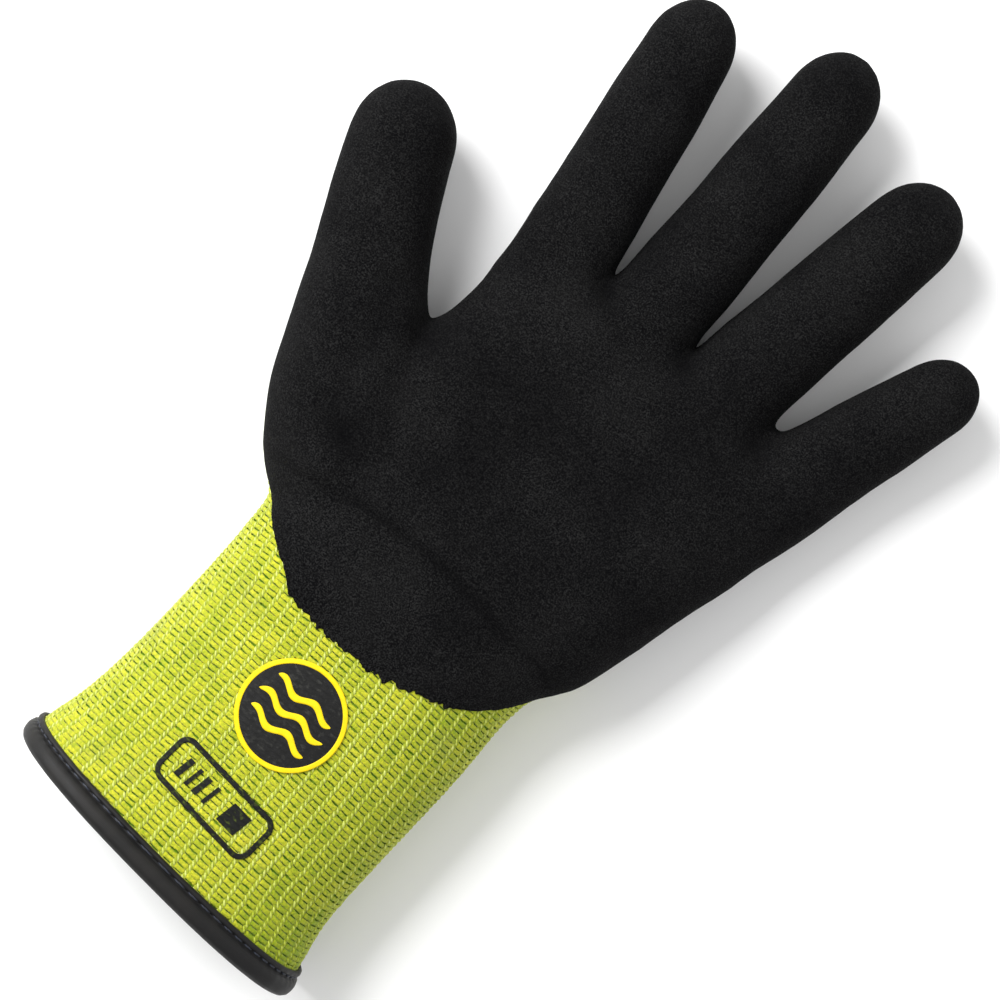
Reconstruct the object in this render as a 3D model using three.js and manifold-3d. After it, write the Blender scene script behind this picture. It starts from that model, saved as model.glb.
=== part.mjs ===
// A left-hand diving glove that lies on its back, palm up: a knitted liner with five fingers, a foam
// coating dipped over the hand, a folded binding round the cuff, and two printed films on the cuff.
// Millimetres, +Z up. +Y runs from the cuff to the fingertips, -X is the thumb's side, and Z = 0 is
// the surface that the glove rests on. The origin is the middle of its footprint.
import * as THREE from 'three';
import { mergeVertices } from 'three/addons/utils/BufferGeometryUtils.js';
import Module from 'manifold-3d';

const wasm = await Module();
wasm.setup();

// Walls, and the clearance between pieces that touch
const COAT_WALL = 0.9;
const KNIT_WALL = 1.6;
const SEAT_GAP = 0.3;

// Cuff, measured over the coating's outside as if it ran on down the cuff
const CUFF_LENGTH = 78.5;
const CUFF_WIDTH = 79.5;
const CUFF_DEPTH = 38;
const RIM_SLANT = 2.4;

// Palm, from the wrist to the roots of the fingers
const PALM_LENGTH = 94;
const PALM_WIDTH = 99;
const PALM_DEPTH = 34;
const PALM_HOLLOW = 4;

// Fingers and thumb: how far the middle finger and the thumb run past the palm's end and root, and how
// far the tips curl up off the surface
const FINGER_LENGTH = 79;
const FINGER_WIDTH = 23.6;
const FINGER_DEPTH = 21;
const FINGER_CURL = 6;
const THUMB_LENGTH = 27;
const THUMB_WIDTH = 25.5;
const THUMB_DEPTH = 24;
const THUMB_CURL = 5;
const TIP_POINT = 1.15;

// Dip line: where the level of the bath met the glove, lowest in the middle of the palm
const DIP_START = 66.1;
const DIP_LEAN = 47.7;
const DIP_TURN = 3.4;

// Binding folded over the cuff's edge
const BINDING_OUTSIDE = 5.2;
const BINDING_INSIDE = 4.8;
const BINDING_WALL = 1.1;
const BINDING_ROLL_HEIGHT = 0.5;
const BINDING_FLANGE = 1.5;
const SEAM_GROOVE = 0.6;

// Printed films on the palm side of the cuff
const FILM_WALL = 0.35;
const BADGE_DIAMETER = 26;
const BADGE_FROM_EDGE = 48.1;
const SIZE_MARK_WIDTH = 30;
const SIZE_MARK_HEIGHT = 12.4;
const SIZE_MARK_CORNER = 3.2;
const SIZE_MARK_LINE = 1.3;
const SIZE_MARK_FROM_EDGE = 22.5;

// How finely the forms are faceted
const HAND_SIDES = 28;
const HAND_SPAN = 14;
const THUMB_SIDES = 16;
const FINGER_SIDES = 12;
const DIGIT_STEPS = 6;
const TIP_STEPS = 4;
const FILM_SIDES = 32;

// The oval of every section: its squareness, how high its widest line lies, and how far its underside
// would bulge if the surface did not press it flat
const OVAL_POWER = 2.3;
const OVAL_WAIST = 0.44;
const OVAL_PRESS = 1.12;

// Sections of the cuff: `along` is a share of its length, `left` and `right` of its width, `top` of
// its depth
const CUFF_ROWS = [
  { along: 0.0, left: 0.548, right: 0.548, top: 1.1, rest: 0, hollow: 0 },
  { along: 0.08, left: 0.538, right: 0.535, top: 1.06, rest: 0, hollow: 0 },
  { along: 0.21, left: 0.511, right: 0.507, top: 1.02, rest: 0, hollow: 0 },
  { along: 0.4, left: 0.494, right: 0.501, top: 1.0, rest: 0, hollow: 0 },
  { along: 0.8, left: 0.492, right: 0.501, top: 0.98, rest: 0, hollow: 0 },
];

// Sections of the palm: `along` is a share of its length, `left` and `right` of its width, `top` and
// `rest` of its depth, and `hollow` of the palm's hollow. The third row is the crease at the wrist.
const PALM_ROWS = [
  { along: 0.0, left: 0.404, right: 0.394, top: 1.09, rest: 0, hollow: 0 },
  { along: 0.09, left: 0.416, right: 0.405, top: 1.09, rest: 0, hollow: 0 },
  { along: 0.15, left: 0.428, right: 0.438, top: 1.02, rest: 0, hollow: 0.1 },
  { along: 0.21, left: 0.442, right: 0.462, top: 1.06, rest: 0, hollow: 0.3 },
  { along: 0.35, left: 0.465, right: 0.495, top: 1.04, rest: 0, hollow: 0.75 },
  { along: 0.51, left: 0.44, right: 0.528, top: 0.99, rest: 0, hollow: 1.0 },
  { along: 0.65, left: 0.39, right: 0.565, top: 0.91, rest: 0, hollow: 0.7 },
  { along: 0.77, left: 0.38, right: 0.588, top: 0.83, rest: 0, hollow: 0.3 },
  { along: 0.87, left: 0.392, right: 0.6, top: 0.74, rest: 0, hollow: 0.1 },
  { along: 0.95, left: 0.388, right: 0.595, top: 0.6, rest: 0.03, hollow: 0 },
  { along: 1.01, left: 0.35, right: 0.55, top: 0.42, rest: 0.1, hollow: 0 },
];

// Sections of a finger and of the thumb up to where the tip's dome begins: `along` is a share of the
// way from the root, `wide` and `deep` are shares of the digit's width and depth, and `curl` of how
// far its tip rises
const FINGER_ROWS = [
  { along: 0.0, wide: 0.7, deep: 0.65, curl: 0.7 },
  { along: 0.28, wide: 1.02, deep: 0.96, curl: 0 },
  { along: 0.47, wide: 1.06, deep: 1.0, curl: 0 },
  { along: 0.65, wide: 1.01, deep: 1.0, curl: 0.15 },
  { along: 0.83, wide: 0.99, deep: 0.97, curl: 0.5 },
  { along: 1.0, wide: 0.94, deep: 0.9, curl: 1.0 },
];
const THUMB_ROWS = [
  { along: 0.0, wide: 1.0, deep: 1.0, curl: 0.7 },
  { along: 0.22, wide: 1.52, deep: 1.38, curl: 0 },
  { along: 0.42, wide: 1.53, deep: 1.38, curl: 0 },
  { along: 0.58, wide: 1.31, deep: 1.24, curl: 0.1 },
  { along: 0.72, wide: 1.12, deep: 1.1, curl: 0.35 },
  { along: 0.86, wide: 1.06, deep: 1.02, curl: 0.7 },
  { along: 1.0, wide: 1.02, deep: 0.96, curl: 1.0 },
];

// The digits: `across` and `along` place the root as shares of the palm's width and length,
// `heading` is in degrees from +Y towards +X, `bend` is how far it turns on the way to the tip, `free`
// is its share of the finger's or thumb's length, and `girth` is its share of the width and depth
// above, of which it loses `taper`
const DIGITS = [
  { name: 'thumb', across: -0.1, along: -0.01, heading: -48.5, bend: 27, free: 1, girth: 1, taper: 0 },
  { name: 'index', across: -0.196, along: 0.55, heading: -11.4, bend: 0, free: 0.848, girth: 1.01, taper: 0.03 },
  { name: 'middle', across: -0.005, along: 0.55, heading: -1.6, bend: -2.2, free: 1, girth: 1.01, taper: 0.01 },
  { name: 'ring', across: 0.195, along: 0.55, heading: 5.8, bend: 0, free: 0.886, girth: 1.04, taper: 0.02 },
  { name: 'little', across: 0.383, along: 0.5, heading: 16.1, bend: 0, free: 0.582, girth: 1.18, taper: 0.28 },
];

const LINER_INSET = COAT_WALL + SEAT_GAP;
const HOLLOW_INSET = LINER_INSET + KNIT_WALL;

// Every column of a table at a place between its rows, on a smooth curve through them
function readTable(rows, along) {
  let i = 0;
  while (i < rows.length - 2 && along > rows[i + 1].along) i += 1;
  const from = rows[i];
  const to = rows[i + 1];
  const before = rows[Math.max(i - 1, 0)];
  const after = rows[Math.min(i + 2, rows.length - 1)];
  const span = to.along - from.along;
  const t = THREE.MathUtils.clamp((along - from.along) / span, 0, 1);
  const found = {};
  for (const column of Object.keys(from)) {
    const leave = ((to[column] - before[column]) / (to.along - before.along)) * span;
    const arrive = ((after[column] - from[column]) / (after.along - from.along)) * span;
    found[column] =
      from[column] * (2 * t ** 3 - 3 * t ** 2 + 1) +
      leave * (t ** 3 - 2 * t ** 2 + t) +
      to[column] * (3 * t ** 2 - 2 * t ** 3) +
      arrive * (t ** 3 - t ** 2);
  }
  return found;
}

// The cuff's and palm's rows in millimetres, as one table along Y from the cuff's edge
const HAND_ROWS = [
  ...CUFF_ROWS.map((row) => ({
    along: row.along * CUFF_LENGTH,
    left: row.left * CUFF_WIDTH,
    right: row.right * CUFF_WIDTH,
    top: row.top * CUFF_DEPTH,
    rest: row.rest * CUFF_DEPTH,
    hollow: row.hollow * PALM_HOLLOW,
  })),
  ...PALM_ROWS.map((row) => ({
    along: CUFF_LENGTH + row.along * PALM_LENGTH,
    left: row.left * PALM_WIDTH,
    right: row.right * PALM_WIDTH,
    top: row.top * PALM_DEPTH,
    rest: row.rest * PALM_DEPTH,
    hollow: row.hollow * PALM_HOLLOW,
  })),
];

// A power that keeps the sign, for the oval's corners
function rounded(value) {
  return Math.sign(value) * Math.abs(value) ** (2 / OVAL_POWER);
}

// One point of a section of the coating's outside: how far across and how high it lies at an angle
function ovalPoint(section, angle) {
  const half = Math.cos(angle) < 0 ? section.left : section.right;
  const rest = Math.max(section.rest, 0);
  const waist = THREE.MathUtils.lerp(rest, section.top, OVAL_WAIST);
  const rise = Math.sin(angle);
  const across = half * rounded(Math.cos(angle));
  if (rise >= 0) {
    const sink = section.hollow * rise ** 5;
    return { across, up: waist + (section.top - waist) * rounded(rise) - sink };
  }
  return { across, up: Math.max(rest, waist + (waist - rest) * OVAL_PRESS * rounded(rise)) };
}

// The coating's outside over the cuff and palm, at a place along Y and an angle round it. The rim's
// slant fades out along the cuff.
function handForm(along, angle) {
  const { across, up } = ovalPoint(readTable(HAND_ROWS, along), angle);
  const fade = THREE.MathUtils.clamp(1 - along / CUFF_LENGTH, 0, 1) ** 2;
  const slant = Math.tan(THREE.MathUtils.degToRad(RIM_SLANT));
  return new THREE.Vector3(across, along - across * slant * fade, up);
}

// The outside of one digit. `place` runs from 0 at its root to 1 where the tip's dome begins and on to
// 2 at the dome's end.
function digitForm(digit, place, angle) {
  const isThumb = digit.name === 'thumb';
  const width = isThumb ? THUMB_WIDTH : FINGER_WIDTH;
  const depth = isThumb ? THUMB_DEPTH : FINGER_DEPTH;
  const straight = Math.min(place, 1);
  const row = readTable(isThumb ? THUMB_ROWS : FINGER_ROWS, straight);
  const girth = digit.girth * (1 - digit.taper * straight);
  const dome = TIP_POINT * 0.5 * width * digit.girth * (1 - digit.taper);
  const swing = Math.max(place - 1, 0) * 0.5 * Math.PI;
  const free = digit.free * (isThumb ? THUMB_LENGTH : FINGER_LENGTH);
  const length = free + (1 - digit.along) * PALM_LENGTH;
  const run = straight * (length - dome) + dome * Math.sin(swing);
  const turn = THREE.MathUtils.degToRad(digit.bend * (run / length));
  const chord = turn === 0 ? run : (run * Math.sin(turn / 2)) / (turn / 2);
  const towards = THREE.MathUtils.degToRad(digit.heading) + turn / 2;
  const facing = towards + turn / 2;
  const rest = Math.max(row.curl, 0) * (isThumb ? THUMB_CURL : FINGER_CURL);
  const tall = row.deep * depth * girth;
  const waist = rest + OVAL_WAIST * tall;
  const section = {
    left: 0.5 * row.wide * width * girth * Math.cos(swing),
    right: 0.5 * row.wide * width * girth * Math.cos(swing),
    top: waist + (rest + tall - waist) * Math.cos(swing),
    rest: waist + (rest - waist) * Math.cos(swing),
    hollow: 0,
  };
  const { across, up } = ovalPoint(section, angle);
  return new THREE.Vector3(
    digit.across * PALM_WIDTH + chord * Math.sin(towards) + across * Math.cos(facing),
    CUFF_LENGTH + digit.along * PALM_LENGTH + chord * Math.cos(towards) - across * Math.sin(facing),
    up,
  );
}

// The point of a form at a place and an angle, moved straight in by `inset`. With `level` it stays at
// its place along Y.
function sunk(form, place, angle, inset, level = false) {
  const reach = 0.01;
  const round = form(place, angle + reach).sub(form(place, angle - reach));
  const onward = form(place + reach, angle).sub(form(place - reach, angle));
  if (level) onward.set(0, 1, 0);
  return form(place, angle).addScaledVector(round.cross(onward).normalize(), inset);
}

// Joins rings of points into a closed geometry: a capped tube, or a torus if the last ring meets the
// first
function skin(rings, isTorus = false) {
  const sides = rings[0].length;
  const points = rings.flat();
  const faces = [];
  const at = (ring, side) => (ring % rings.length) * sides + (side % sides);
  const spans = isTorus ? rings.length : rings.length - 1;
  for (let ring = 0; ring < spans; ring += 1) {
    for (let side = 0; side < sides; side += 1) {
      faces.push(at(ring, side), at(ring + 1, side + 1), at(ring, side + 1));
      faces.push(at(ring, side), at(ring + 1, side), at(ring + 1, side + 1));
    }
  }
  for (const ring of isTorus ? [] : [0, rings.length - 1]) {
    const middle = new THREE.Vector3();
    for (const point of rings[ring]) middle.addScaledVector(point, 1 / sides);
    const hub = points.push(middle) - 1;
    for (let side = 0; side < sides; side += 1) {
      const pair = [at(ring, side), at(ring, side + 1)];
      faces.push(...(ring === 0 ? pair : pair.reverse()), hub);
    }
  }
  return new THREE.BufferGeometry().setFromPoints(points).setIndex(faces);
}

// A geometry as a solid that can be joined and cut
function solidOf(geometry) {
  const plain = new THREE.BufferGeometry();
  plain.setAttribute('position', geometry.getAttribute('position'));
  plain.setIndex(geometry.index);
  const merged = mergeVertices(plain, 1e-4);
  return new wasm.Manifold(
    new wasm.Mesh({
      numProp: 3,
      vertProperties: merged.attributes.position.array,
      triVerts: new Uint32Array(merged.index.array),
    }),
  );
}

// A solid as a geometry again
function geometryOf(solid) {
  const { vertProperties, triVerts } = solid.getMesh();
  const geometry = new THREE.BufferGeometry();
  geometry.setAttribute('position', new THREE.BufferAttribute(vertProperties, 3));
  geometry.setIndex(new THREE.BufferAttribute(triVerts, 1));
  geometry.computeVertexNormals();
  return geometry;
}

// One ring of a form's points
function ringOf(form, place, sides, inset, level = false) {
  const angles = Array.from({ length: sides }, (_, side) => (2 * Math.PI * side) / sides);
  return angles.map((angle) => sunk(form, place, angle, inset, level));
}

// The places along Y that the hand has rings at: every row, and even steps where rows lie far apart
function handPlaces() {
  const places = [HAND_ROWS[0].along];
  for (let row = 1; row < HAND_ROWS.length; row += 1) {
    const [from, to] = [HAND_ROWS[row - 1].along, HAND_ROWS[row].along];
    const steps = Math.ceil((to - from) / HAND_SPAN);
    for (let step = 1; step <= steps; step += 1) {
      places.push(THREE.MathUtils.lerp(from, to, step / steps));
    }
  }
  return places;
}

// The cuff and palm as a full solid, `inset` inside the coating's outside, whose open end stands
// `proud` of the cuff's edge
function handSolid(inset, proud) {
  const places = handPlaces();
  const last = places.length - 1;
  const rings = places.map((place, i) => {
    if (i === last) return ringOf(handForm, place - inset, HAND_SIDES, inset, true);
    return ringOf(handForm, place, HAND_SIDES, inset, i === 0);
  });
  if (proud > 0) rings.unshift(ringOf(handForm, places[0] - proud, HAND_SIDES, inset, true));
  return solidOf(skin(rings));
}

// One digit as a full solid
function digitSolid(digit, inset) {
  const form = (place, angle) => digitForm(digit, place, angle);
  const sides = digit.name === 'thumb' ? THUMB_SIDES : FINGER_SIDES;
  const rings = [];
  for (let step = 0; step <= DIGIT_STEPS; step += 1) {
    rings.push(ringOf(form, step / DIGIT_STEPS, sides, inset));
  }
  for (let step = 0.8; step < TIP_STEPS; step += 1) {
    rings.push(ringOf(form, 1 + step / TIP_STEPS, sides, inset));
  }
  return solidOf(skin(rings));
}

// The whole glove as one full solid, `inset` inside the coating's outside
function gloveForm(inset, proud = 0) {
  return DIGITS.reduce(
    (form, digit) => form.add(digitSolid(digit, inset)),
    handSolid(inset, proud),
  );
}

// Everything on the fingers' side of the dip line, as a large block
function dippedSpace() {
  const reach = 4 * (CUFF_LENGTH + PALM_LENGTH);
  const block = new THREE.BoxGeometry(reach, reach, reach).translate(0, reach / 2, 0);
  block.rotateX(THREE.MathUtils.degToRad(DIP_LEAN));
  block.rotateZ(THREE.MathUtils.degToRad(DIP_TURN));
  block.translate(0, DIP_START, CUFF_DEPTH);
  return solidOf(block);
}

function knitLiner() {
  return gloveForm(LINER_INSET).subtract(gloveForm(HOLLOW_INSET, KNIT_WALL));
}

function foamCoating() {
  const shell = gloveForm(0).subtract(gloveForm(COAT_WALL, COAT_WALL));
  return shell.intersect(dippedSpace());
}

// The binding's outline, as places along the cuff and heights over the liner's outside: a flange, the
// seam's groove, a full roll, round the edge, up the inside, and back along the knit
function bindingOutline() {
  const out = SEAT_GAP + BINDING_WALL;
  const inner = -KNIT_WALL - SEAT_GAP;
  const edge = -SEAT_GAP;
  const fold = edge - BINDING_WALL;
  const seam = BINDING_OUTSIDE - BINDING_FLANGE;
  return [
    { along: BINDING_OUTSIDE, over: SEAT_GAP },
    { along: BINDING_OUTSIDE, over: out },
    { along: seam + SEAM_GROOVE, over: out },
    { along: seam, over: out - SEAM_GROOVE },
    { along: seam - SEAM_GROOVE, over: out + BINDING_ROLL_HEIGHT * 0.6 },
    { along: seam * 0.45, over: out + BINDING_ROLL_HEIGHT },
    { along: edge, over: out },
    { along: fold, over: SEAT_GAP },
    { along: fold, over: inner },
    { along: edge, over: inner - BINDING_WALL },
    { along: BINDING_INSIDE, over: inner - BINDING_WALL },
    { along: BINDING_INSIDE, over: inner },
    { along: edge, over: inner },
    { along: edge, over: SEAT_GAP },
  ];
}

function cuffBinding() {
  const outline = bindingOutline();
  const rings = [];
  for (let side = 0; side < HAND_SIDES; side += 1) {
    const angle = (2 * Math.PI * side) / HAND_SIDES;
    rings.push(
      outline.map(({ along, over }) => {
        const point = sunk(handForm, along, angle, LINER_INSET - over, true);
        return point.setZ(Math.max(point.z, 0));
      }),
    );
  }
  return solidOf(skin(rings, true));
}

// The point over the liner's palm side at a place in plan, found by halving the angle's range
function overLiner(across, along, over) {
  let [low, high] = [0, Math.PI];
  let point = null;
  for (let i = 0; i < 24; i += 1) {
    const angle = (low + high) / 2;
    point = sunk(handForm, along, angle, LINER_INSET - over, true);
    if (point.x > across) low = angle;
    else high = angle;
  }
  return point;
}

// A film on the cuff, from clockwise plan outlines that run from its outside inwards: a frame if it
// has a hole, and otherwise a plate that closes over its middle
function filmSolid(outlines, middle, hasHole) {
  const lay = (outline, over) => outline.map(({ x, y }) => overLiner(x, middle + y, over));
  const under = outlines.map((outline) => lay(outline, SEAT_GAP));
  const over = outlines.map((outline) => lay(outline, SEAT_GAP + FILM_WALL));
  return solidOf(skin([...under.reverse(), ...over], hasHole));
}

function badgeFilm() {
  const outlines = [1, 0.5].map((share) => {
    const radius = share * 0.5 * BADGE_DIAMETER;
    const circle = new THREE.EllipseCurve(0, 0, radius, radius, 0, 2 * Math.PI, true);
    return circle.getPoints(FILM_SIDES).slice(0, FILM_SIDES);
  });
  return filmSolid(outlines, BADGE_FROM_EDGE, false);
}

function sizeFilm() {
  const wide = 0.5 * SIZE_MARK_WIDTH - SIZE_MARK_CORNER;
  const high = 0.5 * SIZE_MARK_HEIGHT - SIZE_MARK_CORNER;
  const quarter = 0.5 * Math.PI;
  const outlines = [SIZE_MARK_CORNER, SIZE_MARK_CORNER - SIZE_MARK_LINE].map((radius) => {
    const path = new THREE.Path();
    path.absarc(wide, high, radius, quarter, 0, true);
    path.absarc(wide, -high, radius, 0, -quarter, true);
    path.absarc(-wide, -high, radius, -quarter, -2 * quarter, true);
    path.absarc(-wide, high, radius, 2 * quarter, quarter, true);
    path.closePath();
    return path.getSpacedPoints(FILM_SIDES).slice(0, FILM_SIDES);
  });
  return filmSolid(outlines, SIZE_MARK_FROM_EDGE, true);
}

const matte = (color, roughness) => new THREE.MeshStandardMaterial({ color, roughness, metalness: 0 });

const PIECES = [
  ['knit_liner', knitLiner(), matte(0xc2ce4b, 0.9)],
  ['foam_coating', foamCoating(), matte(0x1b1b1b, 0.95)],
  ['cuff_binding', cuffBinding(), matte(0x35342f, 0.7)],
  ['badge_film', badgeFilm(), matte(0x1e1c18, 0.5)],
  ['size_film', sizeFilm(), matte(0x14170c, 0.6)],
];

const glove = new THREE.Group();
for (const [name, solid, material] of PIECES) {
  const mesh = new THREE.Mesh(geometryOf(solid), material);
  mesh.name = name;
  glove.add(mesh);
}

// Centre the footprint on the origin
const footprint = new THREE.Box3().setFromObject(glove).getCenter(new THREE.Vector3());
glove.position.set(-footprint.x, -footprint.y, 0);

export default glove;
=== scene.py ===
"""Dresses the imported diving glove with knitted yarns, foam, a sewn binding and printed marks.

The glove lies on its back, palm up. Lengths in the tables and fields are millimetres in the maker's
frame: Y runs from the cuff's edge to the fingertips, X from the thumb's side across the cuff's middle,
and Z up off the floor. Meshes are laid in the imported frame, in metres.
"""

from __future__ import annotations

import logging
import math
from dataclasses import dataclass, field
from enum import Enum
from typing import Callable

import bmesh
import bpy
import numpy as np
from mathutils import Matrix, Vector
from mathutils.bvhtree import BVHTree

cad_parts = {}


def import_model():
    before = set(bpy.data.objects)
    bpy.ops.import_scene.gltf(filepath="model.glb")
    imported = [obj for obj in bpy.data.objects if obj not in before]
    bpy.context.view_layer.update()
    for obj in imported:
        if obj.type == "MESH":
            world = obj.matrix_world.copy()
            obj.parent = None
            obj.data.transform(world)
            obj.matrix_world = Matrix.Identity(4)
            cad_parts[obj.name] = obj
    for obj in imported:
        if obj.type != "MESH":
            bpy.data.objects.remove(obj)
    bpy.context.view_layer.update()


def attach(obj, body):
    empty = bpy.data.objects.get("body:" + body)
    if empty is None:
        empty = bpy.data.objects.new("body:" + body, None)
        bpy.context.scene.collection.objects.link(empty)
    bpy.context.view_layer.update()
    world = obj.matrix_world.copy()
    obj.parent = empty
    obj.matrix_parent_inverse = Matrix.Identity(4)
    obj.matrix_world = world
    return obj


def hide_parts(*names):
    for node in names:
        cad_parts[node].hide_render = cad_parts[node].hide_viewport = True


LOG = logging.getLogger("diving_glove")

MM = 0.001
ORIGIN = np.array([-8.2245, 124.0499, 0.0])
OFF_CORNER = 1e-3

Color = tuple[float, float, float]
FormCurve = Callable[[float, np.ndarray], np.ndarray]


# Shared helpers: lengths, colours and meshes


def to_frame(points: np.ndarray) -> np.ndarray:
    """Returns points of the maker's frame, in millimetres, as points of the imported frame, in metres."""
    return (points - ORIGIN) * MM


def tint(red: int, green: int, blue: int) -> Color:
    """Turns a colour as seen on a screen into linear light.

    Args:
        red: Red, 0 to 255.
        green: Green, 0 to 255.
        blue: Blue, 0 to 255.

    Returns:
        The colour's linear shares.
    """
    shares = [value / 255 for value in (red, green, blue)]
    return tuple(s / 12.92 if s <= 0.04045 else ((s + 0.055) / 1.055) ** 2.4 for s in shares)


def ease(value: np.ndarray, start: float, end: float) -> np.ndarray:
    """Returns a smooth rise from 0 at start to 1 at end."""
    share = np.clip((value - start) / (end - start), 0, 1)
    return share * share * (3 - 2 * share)


def value_noise(places: np.ndarray, seed: int) -> np.ndarray:
    """Smooth random values along a line, one knot for each whole number.

    Args:
        places: Places along the line.
        seed: Which of the random lines to read.

    Returns:
        Values between -1 and 1.
    """
    knots = np.random.default_rng(seed).uniform(-1, 1, 512)
    base = np.floor(places).astype(int)
    share = places - base
    share = share * share * (3 - 2 * share)
    return knots[base % 512] * (1 - share) + knots[(base + 1) % 512] * share


def from_line(points: np.ndarray, line: tuple[tuple[float, float], ...]) -> np.ndarray:
    """Finds how far points lie from a bent line, seen from above.

    Args:
        points: The points.
        line: The line's corners, across and along.

    Returns:
        Each point's distance from the line.
    """
    nearest = np.full(len(points), 1e9)
    corners = np.array(line)
    for start, end in zip(corners[:-1], corners[1:]):
        way = end - start
        share = np.clip(((points[:, :2] - start) @ way) / (way @ way), 0, 1)
        gap = points[:, :2] - start - share[:, None] * way
        nearest = np.minimum(nearest, np.hypot(*gap.T))
    return nearest


def bell(gap: np.ndarray, half: float) -> np.ndarray:
    """Returns 1 where the gap to a line is 0, and a smooth fall to 0 beside the line."""
    return np.exp(-((gap / half) ** 2))


def angles_round(count: int) -> np.ndarray:
    """Returns evenly spaced angles round an oval, turned a hair off its corners."""
    return np.linspace(0, 2 * math.pi, count, endpoint=False) + OFF_CORNER


def mesh_from(name: str, points: np.ndarray, faces: list[np.ndarray]) -> bpy.types.Mesh:
    """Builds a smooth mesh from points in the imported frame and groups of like-sized faces.

    Args:
        name: The mesh's name.
        points: Points in metres, one row each.
        faces: Arrays of faces; each array's rows hold that many corners.

    Returns:
        The new mesh.
    """
    mesh = bpy.data.meshes.new(name)
    corners = np.concatenate([group.ravel() for group in faces])
    counts = np.concatenate([np.full(len(group), group.shape[1]) for group in faces])
    starts = np.concatenate([[0], np.cumsum(counts)[:-1]])
    mesh.vertices.add(len(points))
    mesh.vertices.foreach_set("co", points.astype(np.float32).ravel())
    mesh.loops.add(len(corners))
    mesh.loops.foreach_set("vertex_index", corners.astype(np.int32))
    mesh.polygons.add(len(counts))
    mesh.polygons.foreach_set("loop_start", starts.astype(np.int32))
    mesh.update(calc_edges=True)
    mesh.validate()
    mesh.polygons.foreach_set("use_smooth", np.ones(len(mesh.polygons), dtype=bool))
    return mesh


def quads_between(at: np.ndarray, closed: bool = True) -> np.ndarray:
    """Joins rows of numbered points into four-sided faces, each row to the next.

    Args:
        at: The points' numbers, row by row; several tables of rows may be stacked.
        closed: Whether the end of each row joins its own start.

    Returns:
        The faces, one row each.
    """
    here, there = (at, np.roll(at, -1, axis=-1)) if closed else (at[..., :-1], at[..., 1:])
    corners = [here[..., :-1, :], there[..., :-1, :], there[..., 1:, :], here[..., 1:, :]]
    return np.stack(corners, axis=-1).reshape(-1, 4)


def tube_points(
    path: np.ndarray, side: np.ndarray, rise: np.ndarray, width: np.ndarray, height: np.ndarray, sides: int
) -> np.ndarray:
    """Lays rings of points round many strands.

    Args:
        path: The strands' middles, strand by strand and ring by ring.
        side: Which way is across at each of them.
        rise: Which way is up at each of them.
        width: Half the strand's width at each of them.
        height: Half its height.
        sides: How many points a ring has.

    Returns:
        The points, by strand, ring and side.
    """
    turns = np.linspace(0, 2 * math.pi, sides, endpoint=False)
    across = side[:, :, None, :] * np.cos(turns)[:, None] * width[..., None, None]
    up = rise[:, :, None, :] * np.sin(turns)[:, None] * height[..., None, None]
    return path[:, :, None, :] + across + up


def tube_mesh(name: str, points: np.ndarray) -> bpy.types.Mesh:
    """Builds one mesh of closed tubes from points laid by strand, ring and side."""
    at = np.arange(points[..., 0].size).reshape(points.shape[:3])
    ends = np.concatenate([at[:, 0, ::-1], at[:, -1]])
    return mesh_from(name, to_frame(points.reshape(-1, 3)), [quads_between(at)[:, ::-1], ends[:, ::-1]])


def place(name: str, mesh: bpy.types.Mesh) -> bpy.types.Object:
    """Puts a mesh in the scene as an object of the same name."""
    piece = bpy.data.objects.new(name, mesh)
    bpy.context.scene.collection.objects.link(piece)
    return piece


def points_of(mesh: bpy.types.Mesh) -> np.ndarray:
    """Returns a mesh's points in the maker's frame, in millimetres."""
    points = np.empty(len(mesh.vertices) * 3, dtype=np.float32)
    mesh.vertices.foreach_get("co", points)
    return points.reshape(-1, 3) / MM + ORIGIN


def move_points(mesh: bpy.types.Mesh, points: np.ndarray) -> None:
    """Moves a mesh's points to places given in the maker's frame, in millimetres."""
    mesh.vertices.foreach_set("co", to_frame(points).astype(np.float32).ravel())
    mesh.update()


def normals_of(mesh: bpy.types.Mesh) -> np.ndarray:
    """Returns a mesh's point normals."""
    normals = np.empty(len(mesh.vertices) * 3, dtype=np.float32)
    mesh.vertices.foreach_get("normal", normals)
    return normals.reshape(-1, 3)


def settled(piece: bpy.types.Object) -> bpy.types.Mesh:
    """Returns the piece's mesh with its modifiers applied, and takes the piece away."""
    graph = bpy.context.evaluated_depsgraph_get()
    mesh = bpy.data.meshes.new_from_object(piece.evaluated_get(graph))
    bpy.data.objects.remove(piece)
    return mesh


def add_tone(mesh: bpy.types.Mesh, name: str, values: np.ndarray) -> None:
    """Stores one number for each point of a mesh, for its material to read."""
    layer = mesh.attributes.new(name, "FLOAT", "POINT")
    layer.data.foreach_set("value", values.astype(np.float32))


# Finishes


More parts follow.
